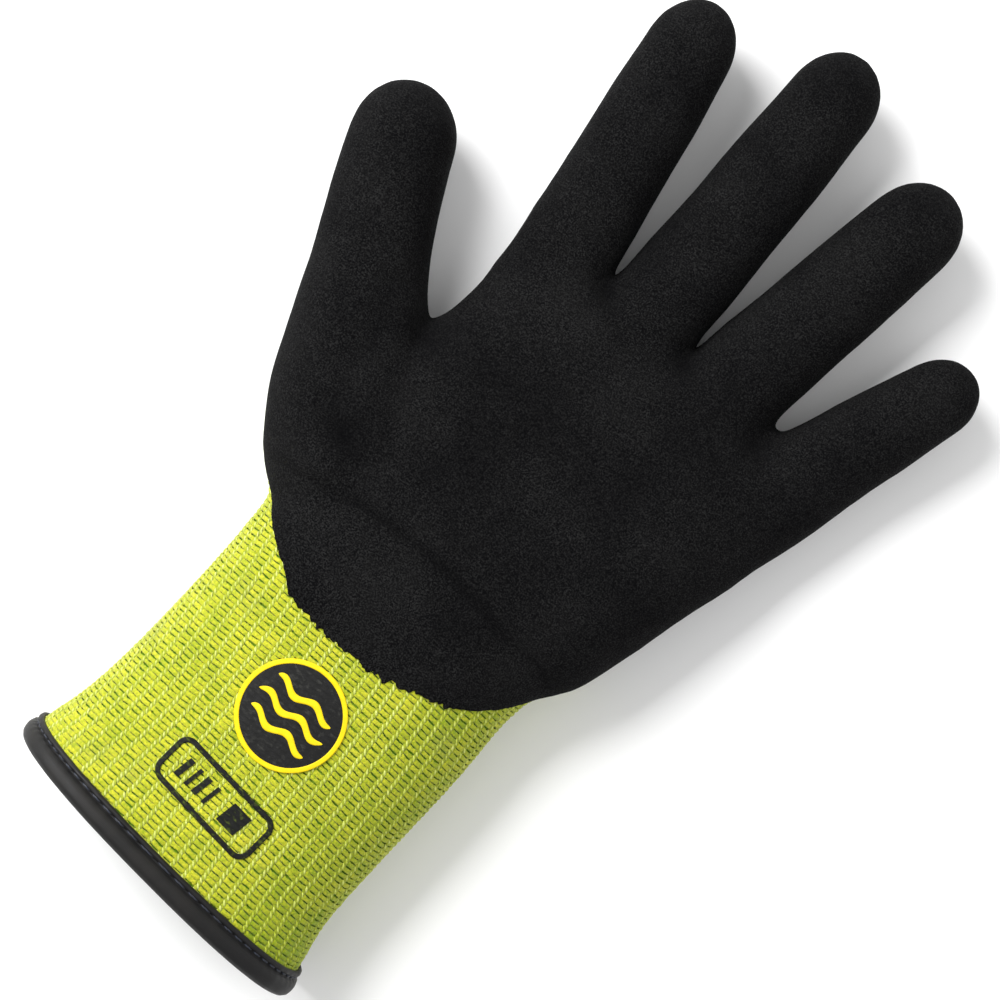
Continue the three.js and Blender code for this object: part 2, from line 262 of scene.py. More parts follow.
class NodeBoard:
    """A material's node tree, with short ways to add the nodes that the finishes share."""

    def __init__(self, name: str) -> None:
        """Makes an empty material with one Principled shader."""
        self.material = bpy.data.materials.new(name)
        self.material.use_nodes = True
        self.tree = self.material.node_tree
        self.tree.nodes.clear()
        self.shader = self.tree.nodes.new("ShaderNodeBsdfPrincipled")
        output = self.tree.nodes.new("ShaderNodeOutputMaterial")
        self.tree.links.new(self.shader.outputs["BSDF"], output.inputs["Surface"])
        self.place = self.tree.nodes.new("ShaderNodeTexCoord").outputs["Object"]

    def fix(self, socket: str, value: float | tuple[float, ...]) -> None:
        """Sets one of the shader's sockets to a value that is the same all over."""
        self.shader.inputs[socket].default_value = value

    def feed(self, socket: str, source: bpy.types.NodeSocket) -> None:
        """Links a source to one of the shader's sockets."""
        self.tree.links.new(source, self.shader.inputs[socket])

    def stretched(self, stretch: tuple[float, float, float]) -> bpy.types.NodeSocket:
        """Returns the object's coordinates, stretched along each axis."""
        node = self.tree.nodes.new("ShaderNodeMapping")
        node.inputs["Scale"].default_value = stretch
        self.tree.links.new(self.place, node.inputs["Vector"])
        return node.outputs["Vector"]

    def noise(
        self,
        grain: float,
        detail: float = 2.0,
        stretch: tuple[float, float, float] = (1.0, 1.0, 1.0),
    ) -> bpy.types.NodeSocket:
        """Adds a noise texture.

        Args:
            grain: The size of its patches in millimetres.
            detail: How many finer layers it holds.
            stretch: Its frequency along each axis.

        Returns:
            The noise's value.
        """
        node = self.tree.nodes.new("ShaderNodeTexNoise")
        node.inputs["Scale"].default_value = 1000 / grain
        node.inputs["Detail"].default_value = detail
        self.tree.links.new(self.stretched(stretch), node.inputs["Vector"])
        return node.outputs["Fac"]

    def cells(self, grain: float) -> bpy.types.NodeSocket:
        """Adds a cell texture whose cells are about `grain` millimetres wide, and returns its distance."""
        node = self.tree.nodes.new("ShaderNodeTexVoronoi")
        node.inputs["Scale"].default_value = 1000 / grain
        self.tree.links.new(self.place, node.inputs["Vector"])
        return node.outputs["Distance"]

    def bands(
        self, pitch: float, along: str, wobble: float, wobble_grain: float = 4.0
    ) -> bpy.types.NodeSocket:
        """Adds even bands along one axis.

        Args:
            pitch: The distance between bands in millimetres.
            along: The axis that they follow each other on.
            wobble: How far noise bends them.
            wobble_grain: The size of that noise's patches in millimetres.

        Returns:
            The bands' value.
        """
        node = self.tree.nodes.new("ShaderNodeTexWave")
        node.bands_direction = along
        node.inputs["Scale"].default_value = 2 * math.pi / (20 * pitch * MM)
        node.inputs["Distortion"].default_value = wobble
        node.inputs["Detail"].default_value = 1.0
        node.inputs["Detail Scale"].default_value = pitch / wobble_grain
        self.tree.links.new(self.place, node.inputs["Vector"])
        return node.outputs["Fac"]

    def reading(self, name: str) -> bpy.types.NodeSocket:
        """Returns the numbers that a mesh stores for each point under a name."""
        node = self.tree.nodes.new("ShaderNodeAttribute")
        node.attribute_name = name
        return node.outputs["Fac"]

    def spread(
        self, source: bpy.types.NodeSocket, low: float, high: float, to: tuple[float, float]
    ) -> bpy.types.NodeSocket:
        """Stretches a source's values over a new range.

        Args:
            source: The values.
            low: The value that becomes the new range's first end.
            high: The value that becomes its second end.
            to: The new range.

        Returns:
            The stretched values, held within the range.
        """
        node = self.tree.nodes.new("ShaderNodeMapRange")
        node.inputs["From Min"].default_value = low
        node.inputs["From Max"].default_value = high
        node.inputs["To Min"].default_value = to[0]
        node.inputs["To Max"].default_value = to[1]
        self.tree.links.new(source, node.inputs["Value"])
        return node.outputs["Result"]

    def combine(
        self, kind: str, first: bpy.types.NodeSocket, second: bpy.types.NodeSocket | float
    ) -> bpy.types.NodeSocket:
        """Joins two values by a sum of school arithmetic, such as ADD or MULTIPLY.

        Args:
            kind: The sum's name.
            first: The first value.
            second: The second value, a source or a number.

        Returns:
            The result.
        """
        node = self.tree.nodes.new("ShaderNodeMath")
        node.operation = kind
        self.tree.links.new(first, node.inputs[0])
        if isinstance(second, (int, float)):
            node.inputs[1].default_value = second
        else:
            self.tree.links.new(second, node.inputs[1])
        return node.outputs["Value"]

    def blend(
        self,
        share: bpy.types.NodeSocket,
        first: Color | bpy.types.NodeSocket,
        second: Color | bpy.types.NodeSocket,
    ) -> bpy.types.NodeSocket:
        """Mixes two colours.

        Args:
            share: How much of the second colour shows, 0 to 1.
            first: The first colour.
            second: The second colour.

        Returns:
            The mixed colour.
        """
        node = self.tree.nodes.new("ShaderNodeMix")
        node.data_type = "RGBA"
        self.tree.links.new(share, node.inputs["Factor"])
        for slot, color in ((6, first), (7, second)):
            if isinstance(color, tuple):
                node.inputs[slot].default_value = (*color, 1.0)
            else:
                self.tree.links.new(color, node.inputs[slot])
        return node.outputs[2]

    def relief(
        self, height: bpy.types.NodeSocket, depth: float, under: bpy.types.NodeSocket | None = None
    ) -> bpy.types.NodeSocket:
        """Turns heights into a bump.

        Args:
            height: The heights, 0 to 1.
            depth: The height that 1 stands for, in millimetres.
            under: A coarser bump that this one lies on.

        Returns:
            The bumped normal.
        """
        node = self.tree.nodes.new("ShaderNodeBump")
        node.inputs["Strength"].default_value = 1.0
        node.inputs["Distance"].default_value = depth * MM
        self.tree.links.new(height, node.inputs["Height"])
        if under is not None:
            self.tree.links.new(under, node.inputs["Normal"])
        return node.outputs["Normal"]


@dataclass(frozen=True)
class FoamFinish:
    """Matte foamed nitrile: near black, with a fine sandy grain and dull patches, and painted shade read from
    the mesh.
    """

    dark: Color = tint(3, 3, 4)
    pale: Color = tint(34, 34, 34)
    worn: Color = tint(20, 20, 20)
    grain: float = 0.36
    pore: float = 0.6
    course: float = 1.36
    clump: float = 3.0
    patch: float = 22.0
    roughness: float = 0.93
    specular: float = 0.06

    def material(self) -> bpy.types.Material:
        """Returns the foam's material."""
        board = NodeBoard("foam_nitrile")
        grit = board.noise(self.grain, 3.0)
        pores = board.cells(self.pore)
        clumps = board.noise(self.clump, 3.0)
        patches = board.noise(self.patch, 2.0)
        speck = board.spread(grit, 0.44, 0.68, (0.0, 1.0))
        # painted shade from the mesh: the grain is darker in creases, crotches and dents, and paler on bumps
        shade = board.spread(board.reading("shade"), 0.0, 1.0, (0.0, 2.0))
        uneven = board.spread(patches, 0.3, 0.7, (0.6, 1.4))
        amount = board.combine("MULTIPLY", board.combine("MULTIPLY", speck, shade), uneven)
        base = board.blend(amount, self.dark, self.pale)
        rubbed = board.spread(board.combine("ADD", clumps, patches), 0.95, 1.25, (0.0, 0.35))
        board.feed("Base Color", board.blend(board.combine("MULTIPLY", rubbed, shade), base, self.worn))
        board.feed("Roughness", board.spread(clumps, 0.3, 0.7, (self.roughness - 0.1, 1.0)))
        coarse = board.relief(clumps, 0.10)
        ribbed = board.relief(board.bands(self.course, "Y", 1.0), 0.05, coarse)
        cratered = board.relief(pores, 0.12, ribbed)
        board.feed("Normal", board.relief(grit, 0.2, cratered))
        board.fix("Specular IOR Level", self.specular)
        return board.material


class Strand(Enum):
    """The yarns that the knit shows: the bars, the pale legs between them, and the legs' ground."""

    BAR = "bar"
    LEG = "leg"
    BACK = "back"


@dataclass(frozen=True)
class YarnFinish:
    """Dyed plied yarn: a colour that varies from stitch to stitch, fine fibres, faint smudges, and painted
    shade read from the mesh.
    """

    strand: Strand
    dull: Color
    bright: Color
    smudge: Color = tint(126, 130, 74)
    fibre: float = 0.3
    fleck: float = 0.55
    fleck_share: float = 1.3
    drift: float = 11.0
    drift_share: float = 0.5
    stain: float = 13.0
    roughness: float = 0.78
    specular: float = 0.3
    sheen: float = 0.12

    def material(self) -> bpy.types.Material:
        """Returns the yarn's material, which reads each stitch's tone and painted shade from the mesh."""
        board = NodeBoard(f"yarn_{self.strand.value}")
        # the mesh's numbers hold each stitch's random tone, lowered by painted shade towards the cuff's
        # little-finger side
        tone_and_shade = board.reading("tone_and_shade")
        fibres = board.noise(self.fibre, 3.0, (0.6, 1.6, 1.0))
        flecks = board.combine("MULTIPLY", board.noise(self.fleck, 3.0), self.fleck_share)
        drifts = board.combine("MULTIPLY", board.noise(self.drift, 3.0), self.drift_share)
        mixed = board.combine("ADD", drifts, board.combine("ADD", flecks, tone_and_shade))
        dyed = board.blend(board.spread(mixed, 0.91, 1.69, (0.0, 1.0)), self.dull, self.bright)
        smudges = board.spread(board.noise(self.stain, 4.0), 0.58, 0.8, (0.0, 0.35))
        tinted = board.blend(smudges, dyed, self.smudge)
        shade = board.spread(fibres, 0.4, 0.75, (0.0, 0.5))
        board.feed("Base Color", board.blend(shade, tinted, self.dull))
        board.feed("Roughness", board.spread(fibres, 0.3, 0.7, (self.roughness - 0.1, 0.95)))
        board.feed("Normal", board.relief(fibres, 0.2))
        board.fix("Specular IOR Level", self.specular)
        board.fix("Sheen Weight", self.sheen)
        board.fix("Sheen Roughness", 0.5)
        return board.material


@dataclass(frozen=True)
class BackingFinish:
    """The knit's ground between and behind the yarns: painted darker than the yarns as shade in the gaps,
    with courses across and wales along.
    """

    # painted shade colours of the ground between the yarns
    deep: Color = tint(70, 112, 0)
    light: Color = tint(112, 146, 14)
    course: float = 1.36

    def material(self) -> bpy.types.Material:
        """Returns the backing's material."""
        board = NodeBoard("knit_backing")
        courses = board.bands(self.course, "Y", 1.2)
        wales = board.noise(1.1, 1.0, (1.0, 0.12, 1.0))
        loops = board.combine("MULTIPLY", courses, board.spread(wales, 0.3, 0.7, (0.5, 1.0)))
        fibres = board.noise(0.2, 2.0)
        # painted shade: the ground is darker than the yarns above it, and darker still between courses
        board.feed("Base Color", board.blend(loops, self.deep, self.light))
        board.feed("Normal", board.relief(fibres, 0.08, board.relief(loops, 0.5)))
        board.fix("Roughness", 0.9)
        board.fix("Specular IOR Level", 0.2)
        return board.material


@dataclass(frozen=True)
class TapeFinish:
    """Charcoal binding tape: a tight fine weave with a soft sheen, paler where it is rubbed, with painted
    shade in the seam's groove and towards the cuff's little-finger side.
    """

    dark: Color = tint(12, 11, 10)
    pale: Color = tint(32, 30, 27)
    # the colour of the painted shade in the seam's groove and on the little-finger side
    hollow: Color = tint(6, 6, 8)
    thread_pitch: float = 0.32

    def material(self) -> bpy.types.Material:
        """Returns the tape's material."""
        board = NodeBoard("binding_tape")
        across = board.bands(self.thread_pitch, "Y", 0.6, 2.0)
        weft = board.noise(0.3, 2.0, (1.0, 0.35, 1.0))
        weave = board.combine("MULTIPLY", across, weft)
        wear = board.noise(5.0, 4.0)
        rubbed = board.spread(wear, 0.42, 0.75, (0.0, 0.8))
        base = board.blend(rubbed, self.dark, self.pale)
        woven = board.blend(board.spread(weave, 0.1, 0.6, (0.35, 0.0)), base, self.dark)
        # painted shade, mixed in by the mesh's seam numbers
        board.feed("Base Color", board.blend(board.reading("seam"), woven, self.hollow))
        board.feed("Roughness", board.spread(wear, 0.3, 0.7, (0.5, 0.66)))
        board.feed("Normal", board.relief(weave, 0.05, board.relief(wear, 0.12)))
        board.fix("Specular IOR Level", 0.3)
        board.fix("Sheen Weight", 0.02)
        board.fix("Sheen Roughness", 0.4)
        return board.material


@dataclass(frozen=True)
class ThreadFinish:
    """Twisted sewing thread, blue-black, with its plies showing."""

    dark: Color = tint(16, 18, 26)
    pale: Color = tint(56, 62, 76)

    def material(self) -> bpy.types.Material:
        """Returns the thread's material, which reads the twist from the mesh."""
        board = NodeBoard("sewing_thread")
        ply = board.reading("ply")
        lint = board.noise(0.25, 2.0)
        share = board.combine("MULTIPLY", ply, board.spread(lint, 0.3, 0.7, (0.5, 1.0)))
        board.feed("Base Color", board.blend(share, self.dark, self.pale))
        board.feed("Normal", board.relief(ply, 0.08))
        board.fix("Roughness", 0.55)
        return board.material


@dataclass(frozen=True)
class FilmFinish:
    """A flexible printed film: flat ink that is rubbed thin on the knit's high places."""

    name: str
    ink: Color
    rubbed: Color
    amount: float = 0.5
    roughness: float = 0.5

    def material(self) -> bpy.types.Material:
        """Returns the film's material."""
        board = NodeBoard(self.name)
        wear = board.noise(1.5, 4.0, (1.0, 1.6, 1.0))
        scuffs = board.noise(0.5, 2.0, (0.7, 1.4, 1.0))
        rub = board.combine("MULTIPLY", board.spread(wear, 0.5, 0.72, (0.0, 1.0)), scuffs)
        worn = board.spread(rub, 0.1, 0.6, (0.0, self.amount))
        board.feed("Base Color", board.blend(worn, self.ink, self.rubbed))
        board.feed("Roughness", board.spread(wear, 0.3, 0.7, (self.roughness - 0.08, self.roughness + 0.2)))
        board.feed("Normal", board.relief(scuffs, 0.06))
        board.fix("Specular IOR Level", 0.28)
        return board.material


@dataclass(frozen=True)
class FloorFinish:
    """A plain pale studio floor with a barely visible grain."""

    pale: Color = (0.95, 0.95, 0.95)
    soft: Color = (0.92, 0.92, 0.92)

    def material(self) -> bpy.types.Material:
        """Returns the floor's material."""
        board = NodeBoard("studio_floor")
        board.feed("Base Color", board.blend(board.noise(60.0, 2.0), self.pale, self.soft))
        board.fix("Roughness", 0.9)
        board.fix("Specular IOR Level", 0.1)
        return board.material


# The glove's form


@dataclass(frozen=True)
class Digit:
    """One finger or the thumb: where it starts, where it points, and its share of length and girth."""

    name: str
    across: float
    along: float
    heading: float
    bend: float
    free: float
    girth: float
    taper: float


@dataclass(frozen=True)
class GlovePattern:
    """The glove's sizes and sections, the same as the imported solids'."""

    cuff_length: float = 78.5
    cuff_width: float = 79.5
    cuff_depth: float = 38.0
    rim_slant: float = 2.4
    palm_length: float = 94.0
    palm_width: float = 99.0
    palm_depth: float = 34.0
    palm_hollow: float = 4.0
    finger_length: float = 79.0
    finger_width: float = 23.6
    finger_depth: float = 21.0
    finger_curl: float = 6.0
    thumb_length: float = 27.0
    thumb_width: float = 25.5
    thumb_depth: float = 24.0
    thumb_curl: float = 5.0
    tip_point: float = 1.15
    oval_power: float = 2.3
    oval_waist: float = 0.44
    oval_press: float = 1.12
    liner_inset: float = 1.2
    cuff_rows: tuple[tuple[float, ...], ...] = (
        (0.0, 0.548, 0.548, 1.1, 0.0, 0.0),
        (0.08, 0.538, 0.535, 1.06, 0.0, 0.0),
        (0.21, 0.511, 0.507, 1.02, 0.0, 0.0),
        (0.4, 0.494, 0.501, 1.0, 0.0, 0.0),
        (0.8, 0.492, 0.501, 0.98, 0.0, 0.0),
    )
    palm_rows: tuple[tuple[float, ...], ...] = (
        (0.0, 0.404, 0.394, 1.09, 0.0, 0.0),
        (0.09, 0.416, 0.405, 1.09, 0.0, 0.0),
        (0.15, 0.428, 0.438, 1.02, 0.0, 0.1),
        (0.21, 0.442, 0.462, 1.06, 0.0, 0.3),
        (0.35, 0.465, 0.495, 1.04, 0.0, 0.75),
        (0.51, 0.44, 0.528, 0.99, 0.0, 1.0),
        (0.65, 0.39, 0.565, 0.91, 0.0, 0.7),
        (0.77, 0.38, 0.588, 0.83, 0.0, 0.3),
        (0.87, 0.392, 0.6, 0.74, 0.0, 0.1),
        (0.95, 0.388, 0.595, 0.6, 0.03, 0.0),
        (1.01, 0.35, 0.55, 0.42, 0.1, 0.0),
    )
    finger_rows: tuple[tuple[float, ...], ...] = (
        (0.0, 0.7, 0.65, 0.7),
        (0.28, 1.02, 0.96, 0.0),
        (0.47, 1.06, 1.0, 0.0),
        (0.65, 1.01, 1.0, 0.15),
        (0.83, 0.99, 0.97, 0.5),
        (1.0, 0.94, 0.9, 1.0),
    )
    thumb_rows: tuple[tuple[float, ...], ...] = (
        (0.0, 1.0, 1.0, 0.7),
        (0.22, 1.52, 1.38, 0.0),
        (0.42, 1.53, 1.38, 0.0),
        (0.58, 1.31, 1.24, 0.1),
        (0.72, 1.12, 1.1, 0.35),
        (0.86, 1.06, 1.02, 0.7),
        (1.0, 1.02, 0.96, 1.0),
    )
    digits: tuple[Digit, ...] = (
        Digit("thumb", -0.1, -0.01, -48.5, 27.0, 1.0, 1.0, 0.0),
        Digit("index", -0.196, 0.55, -11.4, 0.0, 0.848, 1.01, 0.03),
        Digit("middle", -0.005, 0.55, -1.6, -2.2, 1.0, 1.01, 0.01),
        Digit("ring", 0.195, 0.55, 5.8, 0.0, 0.886, 1.04, 0.02),
        Digit("little", 0.383, 0.5, 16.1, 0.0, 0.582, 1.18, 0.28),
    )

    def hand_rows(self) -> np.ndarray:
        """Returns the cuff's and palm's sections in millimetres, as one table along Y."""
        cuff = np.array(self.cuff_rows) * [
            self.cuff_length,
            self.cuff_width,
            self.cuff_width,
            self.cuff_depth,
            self.cuff_depth,
            self.palm_hollow,
        ]
        palm = np.array(self.palm_rows) * [
            self.palm_length,
            self.palm_width,
            self.palm_width,
            self.palm_depth,
            self.palm_depth,
            self.palm_hollow,
        ]
        return np.vstack([cuff, palm + [self.cuff_length, 0, 0, 0, 0, 0]])

    @staticmethod
    def read_rows(rows: np.ndarray, along: float) -> np.ndarray:
        """Reads a table between its rows, on a smooth curve through them.

        Args:
            rows: The table; its first column is the place.
            along: The place to read.

        Returns:
            The other columns' values there.
        """
        i = int(np.clip(np.searchsorted(rows[:, 0], along) - 1, 0, len(rows) - 2))
        start, end = rows[i], rows[i + 1]
        before, after = rows[max(i - 1, 0)], rows[min(i + 2, len(rows) - 1)]
        span = end[0] - start[0]
        t = float(np.clip((along - start[0]) / span, 0, 1))
        leave = (end - before) / (end[0] - before[0]) * span
        arrive = (after - start) / (after[0] - start[0]) * span
        found = (
            start * (2 * t**3 - 3 * t**2 + 1)
            + leave * (t**3 - 2 * t**2 + t)
            + end * (3 * t**2 - 2 * t**3)
            + arrive * (t**3 - t**2)
        )
        return found[1:]

    def oval(self, section: tuple[float, ...], angles: np.ndarray) -> tuple[np.ndarray, np.ndarray]:
        """Draws one section of the coating's outside.

        Args:
            section: Its left and right half widths, top, rest and hollow.
            angles: The angles round it.

        Returns:
            How far across and how high each point lies.
        """
        left, right, top, low, hollow = section
        rest = max(low, 0.0)
        waist = rest + (top - rest) * self.oval_waist
        power = 2 / self.oval_power
        flat, rise = np.cos(angles), np.sin(angles)
        across = np.where(flat < 0, left, right) * np.sign(flat) * np.abs(flat) ** power
        lift = np.sign(rise) * np.abs(rise) ** power
        upper = waist + (top - waist) * lift - hollow * np.clip(rise, 0, 1) ** 5
        lower = np.maximum(rest, waist + (waist - rest) * self.oval_press * lift)
        return across, np.where(rise >= 0, upper, lower)

    def slant(self, along: float) -> float:
        """Returns how far a course leans along Y for each millimetre across, at a place on the cuff."""
        painted_side_shade = float(np.clip(1 - along / self.cuff_length, 0, 1)) ** 2
        return math.tan(math.radians(self.rim_slant)) * painted_side_shade

    def hand_curve(self, along: float, angles: np.ndarray) -> np.ndarray:
        """Returns the points of the cuff's or palm's outside at a place along Y."""
        across, up = self.oval(tuple(self.read_rows(self.hand_rows(), along)), angles)
        return np.stack([across, along - across * self.slant(along), up], axis=-1)

    def digit_curve(self, digit: Digit) -> FormCurve:
        """Returns the curve of one digit's outside: place 0 is its root, 1 its tip's start, 2 its end."""
        is_thumb = digit.name == "thumb"
        width = self.thumb_width if is_thumb else self.finger_width
        depth = self.thumb_depth if is_thumb else self.finger_depth
        reach = self.thumb_length if is_thumb else self.finger_length
        curl = self.thumb_curl if is_thumb else self.finger_curl
        rows = np.array(self.thumb_rows if is_thumb else self.finger_rows)
        dome = self.tip_point * 0.5 * width * digit.girth * (1 - digit.taper)
        length = digit.free * reach + (1 - digit.along) * self.palm_length

        def curve(at: float, angles: np.ndarray) -> np.ndarray:
            """Returns the digit's points at one place."""
            straight = min(at, 1.0)
            wide, deep, raised = self.read_rows(rows, straight)
            girth = digit.girth * (1 - digit.taper * straight)
            swing = max(at - 1, 0.0) * 0.5 * math.pi
            run = straight * (length - dome) + dome * math.sin(swing)
            turn = math.radians(digit.bend * (run / length))
            chord = run if turn == 0 else run * math.sin(turn / 2) / (turn / 2)
            towards = math.radians(digit.heading) + turn / 2
            facing = towards + turn / 2
            rest = max(raised, 0.0) * curl
            tall = deep * depth * girth
            waist = rest + self.oval_waist * tall
            half = 0.5 * wide * width * girth * math.cos(swing)
            top = waist + (rest + tall - waist) * math.cos(swing)
            low = waist + (rest - waist) * math.cos(swing)
            across, up = self.oval((half, half, top, low, 0.0), angles)
            return np.stack(
                [
                    digit.across * self.palm_width + chord * math.sin(towards) + across * math.cos(facing),
                    self.cuff_length
                    + digit.along * self.palm_length
                    + chord * math.cos(towards)
                    - across * math.sin(facing),
                    up,
                ],
                axis=-1,
            )

        return curve

    @staticmethod
    def sunk(
        curve: FormCurve, at: float, angles: np.ndarray, inset: float, level: bool = False
    ) -> np.ndarray:
        """Moves the points of a form straight in.

        Args:
            curve: The form.
            at: The place on it.
            angles: The angles round it.
            inset: How far in, in millimetres.
            level: Whether the points stay at their place along Y.

        Returns:
            The moved points.
        """
        step = 0.01
        around = curve(at, angles + step) - curve(at, angles - step)
        onward = curve(at + step, angles) - curve(at - step, angles)
        if level:
            onward = np.broadcast_to([0.0, 1.0, 0.0], around.shape)
        inward = np.cross(around, onward)
        inward /= np.linalg.norm(inward, axis=-1, keepdims=True)
        return curve(at, angles) + inward * inset


@dataclass
class GloveForm:
    """The smooth outside of the knitted liner, which the pieces are laid on."""

    pattern: GlovePattern = field(default_factory=GlovePattern)
    voxel: float = 1.2
    hand_sides: int = 128
    digit_sides: int = 64
    ring_pitch: float = 1.5
    proud: float = 4.0
    fillet_passes: int = 8
    knuckle_passes: int = 26
    knuckle_start: tuple[float, float] = (138.0, 152.0)
    knuckle_end: tuple[float, float] = (178.0, 188.0)
    web_across: tuple[float, float] = (26.0, 34.0)
    web_start: tuple[float, float] = (108.0, 120.0)
    web_end: tuple[float, float] = (140.0, 150.0)
    shaft_rings: int = 54
    tip_rings: int = 18
    tip_reach: float = 0.97

    def build(self) -> None:
        """Lofts the hand and its digits, joins them, and keeps the joined skin with its finder."""
        points: list[np.ndarray] = []
        quads: list[np.ndarray] = []
        caps: list[np.ndarray] = []
        for rings in self.lofts():
            self.add_loft(rings, points, quads, caps)
        faces = [np.concatenate(quads), np.concatenate(caps)]
        self.skin = self.joined(mesh_from("form_loft", to_frame(np.concatenate(points)), faces))
        self.cut_rim(self.skin)
        self.finder = self.tree(self.skin)

    def lofts(self) -> list[list[np.ndarray]]:
        """Returns the rings of the hand and of each digit, at the liner's outside."""
        pattern = self.pattern
        inset = pattern.liner_inset
        end = pattern.hand_rows()[-1, 0] - inset
        count = int((end + self.proud) / self.ring_pitch)
        places = np.linspace(-self.proud, end, count)
        around = angles_round(self.hand_sides)
        level = {0, count - 1}
        hand = [
            pattern.sunk(pattern.hand_curve, at, around, inset, i in level) for i, at in enumerate(places)
        ]
        found = [hand]
        around = angles_round(self.digit_sides)
        shaft = np.linspace(0, 1, self.shaft_rings)
        tip = 1 + np.sin(np.linspace(0, 0.5 * math.pi, self.tip_rings)[1:]) * self.tip_reach
        for digit in pattern.digits:
            curve = pattern.digit_curve(digit)
            found.append([pattern.sunk(curve, at, around, inset) for at in (*shaft, *tip)])
        return found

    @staticmethod
    def add_loft(
        rings: list[np.ndarray], points: list[np.ndarray], quads: list[np.ndarray], caps: list[np.ndarray]
    ) -> None:
        """Adds one capped tube to the lists of points, quads and caps.

        Args:
            rings: The tube's rings.
            points: All points so far.
            quads: All four-sided faces so far.
            caps: All three-sided faces so far.
        """
        start = sum(len(group) for group in points)
        sides = len(rings[0])
        at = start + np.arange(len(rings) * sides).reshape(len(rings), sides)
        turned = np.roll(at, -1, axis=1)
        quads.append(quads_between(at)[:, ::-1])
        hub = start + len(rings) * sides
        first, last = at[0], at[-1]
        caps.append(np.stack([first, turned[0], np.full(sides, hub)], axis=-1))
        caps.append(np.stack([turned[-1], last, np.full(sides, hub + 1)], axis=-1))
        middles = np.stack([rings[0].mean(axis=0), rings[-1].mean(axis=0)])
        points.extend([*rings, middles])

    def joined(self, mesh: bpy.types.Mesh) -> bpy.types.Mesh:
        """Joins the lofts into one skin and rounds the places where they meet.

        Args:
            mesh: The lofts.

        Returns:
            The skin.
        """
        piece = place("form_skin", mesh)
        remesh = piece.modifiers.new("join", "REMESH")
        remesh.mode = "VOXEL"
        remesh.voxel_size = self.voxel * MM
        skin = settled(piece)
        x, y, _ = points_of(skin).T
        piece = place("form_skin", skin)
        group = piece.vertex_groups.new(name="knuckles")
        knuckles = ease(y, *self.knuckle_start) * (1 - ease(y, *self.knuckle_end))
        thumb_web = ease(-x, *self.web_across) * ease(y, *self.web_start) * (1 - ease(y, *self.web_end))
        weights = np.maximum(knuckles, thumb_web)
        for i in np.flatnonzero(weights > 0.02):
            group.add([int(i)], float(weights[i]), "REPLACE")
        evenly = piece.modifiers.new("round", "SMOOTH")
        evenly.iterations = self.fillet_passes
        webs = piece.modifiers.new("webs", "SMOOTH")
        webs.vertex_group = "knuckles"
        webs.iterations = self.knuckle_passes
        return settled(piece)

    def cut_rim(self, mesh: bpy.types.Mesh) -> None:
        """Cuts a skin off square along the cuff's slanting edge."""
        shape = bmesh.new()
        shape.from_mesh(mesh)
        slant = self.pattern.slant(0.0)
        bmesh.ops.bisect_plane(
            shape,
            geom=[*shape.verts, *shape.edges, *shape.faces],
            plane_co=Vector(to_frame(np.array([0.0, 0.0, 0.0]))),
            plane_no=Vector((slant, 1.0, 0.0)).normalized(),
            clear_inner=True,
        )
        shape.to_mesh(mesh)
        shape.free()
        mesh.update()

    @staticmethod
    def tree(mesh: bpy.types.Mesh) -> BVHTree:
        """Returns a finder that rays can be cast against."""
        faces = [tuple(face.vertices) for face in mesh.polygons]
        return BVHTree.FromPolygons([v.co.copy() for v in mesh.vertices], faces)

    def drop(self, x: float, y: float) -> tuple[np.ndarray, np.ndarray]:
        """Finds the point of the palm side above a place in plan.

        Args:
            x: The place across.
            y: The place along.

        Returns:
            The point and its normal.
        """
        start = Vector(to_frame(np.array([x, y, 90.0])))
        hit, normal, _, _ = self.finder.ray_cast(start, Vector((0, 0, -1)))
        return np.array(hit) / MM + ORIGIN, np.array(normal)


